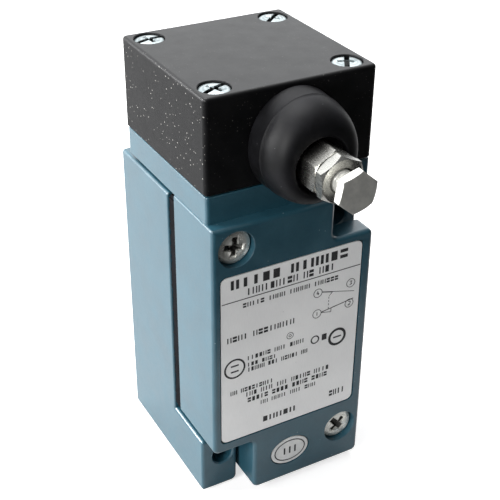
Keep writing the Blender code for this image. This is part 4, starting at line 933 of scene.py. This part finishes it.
def screwPiece(node, look, body, facing, turn):
    # pan head over a threaded shank, about its own axis; the head's edge is straight up to
    # rim of its height, and its top is domed by crown
    whole = spans(node)
    along = "d" if facing is toFront else "z"
    length = whole[along + "1"] - whole[along + "0"]
    tall, crown = look["head"], look["crown"]
    radius, neck = look["across"] / 2, look["shank"] / 2
    ease, overlap, dome = 0.12, 0.3, 8
    edge = tall * look["rim"]
    profile = [(0, -tall), (neck, -tall), (neck, 0), (radius - ease, 0), (radius, ease),
               (radius, edge)]
    for step in range(1, dome + 1):
        angle = pi / 2 * step / dome
        profile.append((radius * (0.50 + 0.50 * cos(angle)),
                        edge + (tall - crown - edge) * sin(angle)))
    profile += [(radius * 0.25, tall - crown * 0.25), (0, tall)]
    screw = lathed(node + "_turned", profile, 72)
    shank = threaded("shank", neck, look["pitch"], neck * 0.16, tall - length, overlap, 32, 8)
    cuts = [cross(radius * look["cross"], look["slot"] / 2, look["deep"] * 1.5, tall)]
    if look["slotReach"]:
        reach = radius * look["slotReach"]
        cuts.append(block("slot", rectangle(-reach, reach, -look["slot"] / 2, look["slot"] / 2),
                          "Z", tall - look["deep"], tall + over))
    worked(screw, cuts, [shank])
    if facing is toFront:
        settle(screw, whole["x"], whole["d1"] - tall, whole["z"], turn)
    else:
        settle(screw, whole["x"], whole["d"], whole["z1"] - tall + look["lift"], turn, facing)
    dressed(screw, look["finish"], body, [node], 38)


def screws():
    headLook = {"across": 6.7, "head": 2.2, "shank": 4.0, "pitch": 0.7, "cross": 0.66,
                "slot": 1.15, "deep": 1.0, "slotReach": 1.2, "crown": 0.12, "rim": 0.78,
                "lift": 0.3, "finish": "zinc"}
    captiveLook = {"across": 8.25, "head": 2.6, "shank": 4.0, "pitch": 0.8, "cross": 0.74,
                   "slot": 1.65, "deep": 1.6, "slotReach": 0.0, "crown": 0.5, "rim": 0.62,
                   "finish": "captiveNickel"}
    smallLook = {"across": 6.0, "head": 2.0, "shank": 3.0, "pitch": 0.5, "cross": 0.6,
                 "slot": 0.9, "deep": 0.8, "slotReach": 1.2, "crown": 0.2, "rim": 0.5,
                 "finish": "nickel"}
    holderLook = dict(smallLook, across=5.0)
    for node, turn in zip(headScrews, (24.0, 58.0, 12.0, 40.0)):
        screwPiece(node, headLook, "switch_unit", upright, turn)
    for node, turn in (("captive_screw_upper_left", 82.0), ("captive_screw_lower_right", -48.0)):
        screwPiece(node, captiveLook, "switch_unit", toFront, turn)
    for number, turn in enumerate((15.0, 70.0, -35.0, 50.0), 1):
        screwPiece("terminal_screw_" + str(number), smallLook, "receptacle",
                   toFront, turn)
    for node, turn in (("block_screw_upper", 30.0), ("block_screw_lower", -20.0)):
        screwPiece(node, holderLook, "receptacle", toFront, turn)
    screwPiece("ground_screw", dict(smallLook, finish="brass"), "receptacle", toFront, 5.0)


# label and sticker

class Print:
    # ink marks, thin solids gathered into one mesh on the front of the label
    def __init__(self, front):
        self.front = front
        self.points = []
        self.faces = []

    def patch(self, corners):
        start = len(self.points)
        count = len(corners)
        for level in (self.front + 0.004, self.front + 0.024):
            self.points += [(x, -level, z) for x, z in corners]
        self.faces += [[start + index for index in range(count)][::-1],
                       [start + count + index for index in range(count)]]
        for index in range(count):
            following = (index + 1) % count
            self.faces.append([start + index, start + following,
                               start + count + following, start + count + index])

    def bar(self, x0, x1, z0, z1):
        self.patch(rectangle(x0, x1, z0, z1))

    def stroke(self, start, end, width):
        first, last = Vector(start), Vector(end)
        side = (last - first).normalized() * (width / 2)
        side = Vector((-side.y, side.x))
        self.patch([tuple(point) for point in (first - side, last - side, last + side, first + side)])

    def ring(self, x, z, across, tall, width, steps=28):
        # an oval line, its middle line across by tall
        inner = ellipse(across - width, tall - width, steps, x, z)
        outer = ellipse(across + width, tall + width, steps, x, z)
        for step in range(steps):
            following = (step + 1) % steps
            self.patch([inner[step], outer[step], outer[following], inner[following]])

    def words(self, x0, x1, z, tall, lengths, weight):
        # a line of plain upright marks in groups, none of them a character
        total = sum(lengths) + 0.8 * (len(lengths) - 1)
        pitch = (x1 - x0) / total
        place = x0
        for length in lengths:
            for _ in range(length):
                wide = pitch * 0.78
                kind = draw.random()
                if kind < 0.40:
                    self.bar(place, place + weight, z, z + tall)
                    self.bar(place + wide - weight, place + wide, z, z + tall)
                elif kind < 0.62:
                    self.bar(place + wide * 0.28, place + wide * 0.28 + weight * 1.15, z, z + tall)
                elif kind < 0.82:
                    gap = min(weight * 0.5, tall * 0.14)
                    self.bar(place, place + wide, z, z + tall / 2 - gap)
                    self.bar(place, place + wide, z + tall / 2 + gap, z + tall)
                else:
                    self.bar(place + wide * 0.1, place + wide * 0.9, z, z + tall)
                place += pitch
            place += 0.8 * pitch

    def digit(self, number, x, z, wide, tall, weight):
        # a terminal number drawn in straight strokes
        left, right, low, high = x - wide / 2, x + wide / 2, z - tall / 2, z + tall / 2
        strokes = {1: [(x, low, x, high)],
                   2: [(left, high, right, high), (right, high, right, z), (right, z, left, low),
                       (left, low, right, low)],
                   3: [(left, high, right, high), (right, high, x, z), (x, z, right, z - tall / 4),
                       (right, z - tall / 4, left, low)],
                   4: [(x, high, left, z - tall / 6), (left, z - tall / 6, right, z - tall / 6),
                       (x + wide / 5, z + tall / 6, x + wide / 5, low)]}
        for x0, z0, x1, z1 in strokes[number]:
            self.stroke((x0, z0), (x1, z1), weight)

    def finished(self, name):
        return pieceFrom(name, self.points, self.faces)


def nameplate():
    look = {
        # from x, to x, foot, height, marks in each group, stroke
        "lines": (
            (-16.1, 14.4, 22.95, 2.35, (5, 6), 0.74), (-12.2, 10.8, 20.5, 1.75, (9, 2, 3), 0.30),
            (-13.1, 11.8, 17.5, 1.15, (5, 4, 5, 6), 0.24), (-17.0, 0.5, 9.05, 1.45, (4, 8), 0.28),
            (-12.0, 3.5, 2.75, 1.15, (6, 3, 4), 0.22), (-11.9, -4.1, 0.95, 1.05, (3, 4), 0.22),
            (-11.8, 4.3, -0.55, 1.15, (5, 3, 5, 2), 0.23), (-16.2, -4.8, -5.95, 1.15, (2, 9), 0.24),
            (-12.3, 10.6, -7.65, 1.25, (3, 3, 3, 5, 4), 0.24),
            (-11.7, 10.2, -9.45, 1.25, (5, 4, 4, 4), 0.24),
            (-8.2, 7.0, -11.35, 1.1, (2, 4, 3, 3), 0.22), (-7.6, 1.7, -17.0, 1.55, (5,), 0.42),
            (11.0, 15.6, -16.4, 1.65, (4,), 0.30)),
        "rule": (19.68, 19.90), "ruleInset": 0.2,
        # contact diagram: x, z and number of each terminal, then a break pair over a make pair
        "terminals": ((6.3, 15.3, 4), (15.2, 15.4, 3), (6.3, 9.6, 1), (15.1, 9.8, 2)),
        "terminal": (1.12, 0.15, 0.62, 1.0, 0.17),      # radius, line, then the number's size
        "breakPair": ((7.5, 15.3, 16.3, 12.9, 0.14), (7.5, 15.2, 10.3, 14.4, 0.14),
                      (10.3, 14.55, 9.4, 13.6, 0.14)),
        "link": (9.35, 13.4, 0.93, 0.5, 0.14), "dashes": 4,     # x, top, pitch, length, line
        "makePair": ((7.4, 9.7, 16.2, 10.9, 0.20), (7.4, 9.6, 10.1, 9.0, 0.14),
                     (10.1, 9.0, 10.1, 10.0, 0.14)),
        # plain marks: x, z, radius, line; and the bars in and beside them
        "rings": ((-0.75, 5.85, 0.85, 0.14), (-0.75, 5.85, 0.32, 0.14), (-15.1, 1.55, 2.5, 0.46),
                  (12.3, 1.15, 2.15, 0.66), (6.1, 2.35, 1.0, 0.34)),
        "bars": ((-16.1, -14.1, 0.55, 0.95), (-16.1, -14.1, 2.15, 2.55), (11.2, 13.4, 0.95, 1.35),
                 (8.0, 9.3, 1.5, 3.2)),
        "corner": 1.5, "under": 0.03, "ease": 0.06}
    plate = spans("nameplate")
    front = plate["d1"] - look["under"]
    foil = softBlock("nameplate_foil", labelPocket("nameplate", 0.0), look["corner"], "Y",
                     plate["d0"], front, 0.0, look["ease"], 4)
    dressed(foil, "foil", "switch_unit", ["nameplate"])
    ink = Print(front)
    for line in look["lines"]:
        ink.words(*line)
    ink.bar(plate["x0"] + look["ruleInset"], plate["x1"] - look["ruleInset"], *look["rule"])
    radius, width, *numberSize = look["terminal"]
    for x, z, number in look["terminals"]:
        ink.ring(x, z, 2 * radius, 2 * radius, width)
        ink.digit(number, x, z, *numberSize)
    for x0, z0, x1, z1, width in look["breakPair"] + look["makePair"]:
        ink.stroke((x0, z0), (x1, z1), width)
    x, top, pitch, length, width = look["link"]
    for step in range(look["dashes"]):
        ink.stroke((x, top - step * pitch), (x, top - length - step * pitch), width)
    for x, z, radius, width in look["rings"]:
        ink.ring(x, z, 2 * radius, 2 * radius, width)
    for bar in look["bars"]:
        ink.bar(*bar)
    dressed(ink.finished("nameplate_print"), "ink", "switch_unit")


def ovalSticker():
    look = {"ease": 0.1, "edge": 0.06, "under": 0.02, "ringIn": (1.0, 0.9), "ring": 0.3,
            "bars": (-1.5, 0.0, 1.5), "bar": (0.22, 1.05)}
    oval = spans("oval_sticker")
    x, z = oval["x"], oval["z"]
    across, tall = oval["x1"] - oval["x0"], oval["z1"] - oval["z0"]
    full = ellipse(across, tall, 72, x, z)
    eased = ellipse(across - look["ease"], tall - look["ease"], 72, x, z)
    front = oval["d1"] - look["under"]
    rings = [(oval["d0"], full), (oval["d1"] - look["edge"], full), (front, eased)]
    dressed(skinned("oval_sticker_face", rings, "Y"), "vinyl", "switch_unit",
            ["oval_sticker"])
    ink = Print(front)
    inside = look["ringIn"]
    ink.ring(x, z, across - 2 * inside[0], tall - 2 * inside[1], look["ring"], 64)
    wide, high = look["bar"]
    for offset in look["bars"]:
        ink.bar(x + offset - wide, x + offset + wide, z - high, z + high)
    dressed(ink.finished("oval_sticker_print"), "ink", "switch_unit")


print("receptacle")
receptacle()
bodyGasket()
print("switch unit")
switchUnit()
print("head and boot")
operatingHead()
rubberBoot()
print("shaft line")
leverShaft()
leverNut()
leverBolt()
print("screws")
screws()
print("label and sticker")
nameplate()
ovalSticker()

# finishes on the pieces that stay as the frame has them

print("inner pieces")
keptFinishes = {
    "sealRubber": ["head_seal"],
    "bronze": ["shaft_bushing"],
    "hardSteel": ["cam_sleeve"],
    "springSteel": ["return_spring", "retaining_ring", "plunger_spring", "carrier_spring",
                    "retainer_upper_left", "retainer_lower_right"],
    "stainless": ["head_plunger"],
    "phenolic": ["contact_block", "terminal_block"],
    "acetal": ["contact_carrier"],
    "silverBrass": ["contact_bridge_nc", "contact_bridge_no"],
    "brass": [kind + str(number) for kind in ("plug_blade_", "terminal_clip_")
              for number in range(1, 5)]}
for finish, nodes in keptFinishes.items():
    for node in nodes:
        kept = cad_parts[node]
        kept.data.materials.clear()
        kept.data.materials.append(finishes[finish])


# stage; lengths here are in metres

def stage():
    # a wide pale floor, and a sheet of paper on it that throws light up at the foot of the switch
    look = {"size": 6.0, "colour": (0.86, 0.86, 0.86), "worn": (0.90, 0.90, 0.90),
            "roughness": (0.8, 0.9), "glow": 0.45, "floorDrop": -0.4,
            "paper": (-0.42, 0.36, -0.105, 0.40), "paperDrop": -0.1, "shade": 0.40}
    pale = Finish("paleFloor")
    cloud = pale.noise(0.004, 2.0)
    pale.set(baseColor=pale.blend(cloud, look["colour"], look["worn"]),
             roughness=pale.between(cloud, 0.3, 0.7, *look["roughness"]), specularIorLevel=0.1,
             emissionColor=(1.0, 1.0, 1.0), emissionStrength=look["glow"])
    card = Finish("greyCard")
    shades = [(look["shade"] * share,) * 3 for share in (1.0, 1.05)]
    card.set(baseColor=card.blend(card.noise(0.01, 2.0), *shades), roughness=0.9,
             specularIorLevel=0.1)
    half = look["size"] / 2
    for name, finish, corners, drop, seen in (
            ("floor", pale, (-half, half, -half, half), look["floorDrop"], True),
            ("paper", card, look["paper"], look["paperDrop"], False)):
        ground = pieceFrom(name, [(x / mm, y / mm, casting["z0"] + drop)
                                  for x, y in rectangle(*corners)], [[0, 1, 2, 3]])
        ground.data.materials.append(finish.material)
        ground.visible_camera = seen
        ground.visible_glossy = not seen
        ground.visible_diffuse = not seen
        ground.visible_shadow = False


def studio():
    # light comes from the left, from behind and from above; the room in front is dark
    look = {"tint": (0.97, 0.985, 1.0), "room": 0.035, "behind": 1.55, "left": 0.25, "above": 0.55,
            "backdrop": 1.05, "middle": (0.0, -0.025, 0.02),
            # place, width, height and watts
            "softboxes": {"leftBank": ((-0.70, -0.28, 0.32), 0.35, 0.5, 6.4),
                          "leftRear": ((-0.75, 0.50, 0.30), 0.4, 0.5, 17.0),
                          "overhead": ((-0.05, 0.25, 0.95), 0.7, 0.7, 9.0)}}
    sky = bpy.data.worlds.new("studio")
    bpy.context.scene.world = sky
    sky.use_nodes = True
    air = Finish("air", sky.node_tree)
    way = air.node("ShaderNodeTexCoord", output="Generated")
    across = air.node("ShaderNodeSeparateXYZ", None, {0: way})
    behind = air.between(across.other("Y"), 0.02, 0.55)
    left = air.between(across, -0.95, -0.35, 1.0, 0.0)
    above = air.between(across.other("Z"), 0.45, 0.95)
    light = look["room"] + behind * look["behind"] + left * look["left"] + above * look["above"]
    seen = air.node("ShaderNodeLightPath", output="Is Camera Ray")
    back = sky.node_tree.nodes["Background"]
    air.feed(back.inputs["Color"], look["tint"])
    air.feed(back.inputs["Strength"], light * (1 - seen) + seen * look["backdrop"])
    for name, (place, width, height, power) in look["softboxes"].items():
        lamp = bpy.data.lights.new(name, "AREA")
        lamp.shape = "RECTANGLE"
        lamp.size = width
        lamp.size_y = height
        lamp.energy = power
        box = bpy.data.objects.new(name, lamp)
        bpy.context.scene.collection.objects.link(box)
        box.location = place
        facing = Vector(look["middle"]) - Vector(place)
        box.rotation_euler = facing.to_track_quat("-Z", "Y").to_euler()
        box.visible_camera = False


def camera():
    # stands to the left, above the head, and looks down at the front; lengths in millimetres
    look = {"azimuth": -29.168, "elevation": 31.315, "roll": 0.58, "distance": 263.09,
            "slide": -9.49, "rise": 56.50, "aim": (0.0, -47.5, -37.5), "lens": 75.58,
            "sensor": 36.0, "clip": (0.01, 20.0)}
    turn, lift, tilt = (radians(look[key]) for key in ("azimuth", "elevation", "roll"))
    back = Vector((sin(turn) * cos(lift), -cos(turn) * cos(lift), sin(lift)))
    right = Vector((cos(turn), sin(turn), 0.0))
    up = back.cross(right)
    across = right * cos(tilt) + up * sin(tilt)
    upward = up * cos(tilt) - right * sin(tilt)
    place = (back * look["distance"] + across * look["slide"] + upward * look["rise"]
             + Vector(look["aim"]))
    eye = bpy.data.cameras.new("eye")
    eye.lens = look["lens"]
    eye.sensor_width = look["sensor"]
    eye.clip_start, eye.clip_end = look["clip"]
    holder = bpy.data.objects.new("eye", eye)
    bpy.context.scene.collection.objects.link(holder)
    axes = Matrix((across, upward, back)).transposed()
    holder.matrix_world = Matrix.Translation(place * mm) @ axes.to_4x4()
    bpy.context.scene.camera = holder


print("stage")
stage()
studio()
camera()
bpy.context.scene.view_settings.view_transform = "Standard"
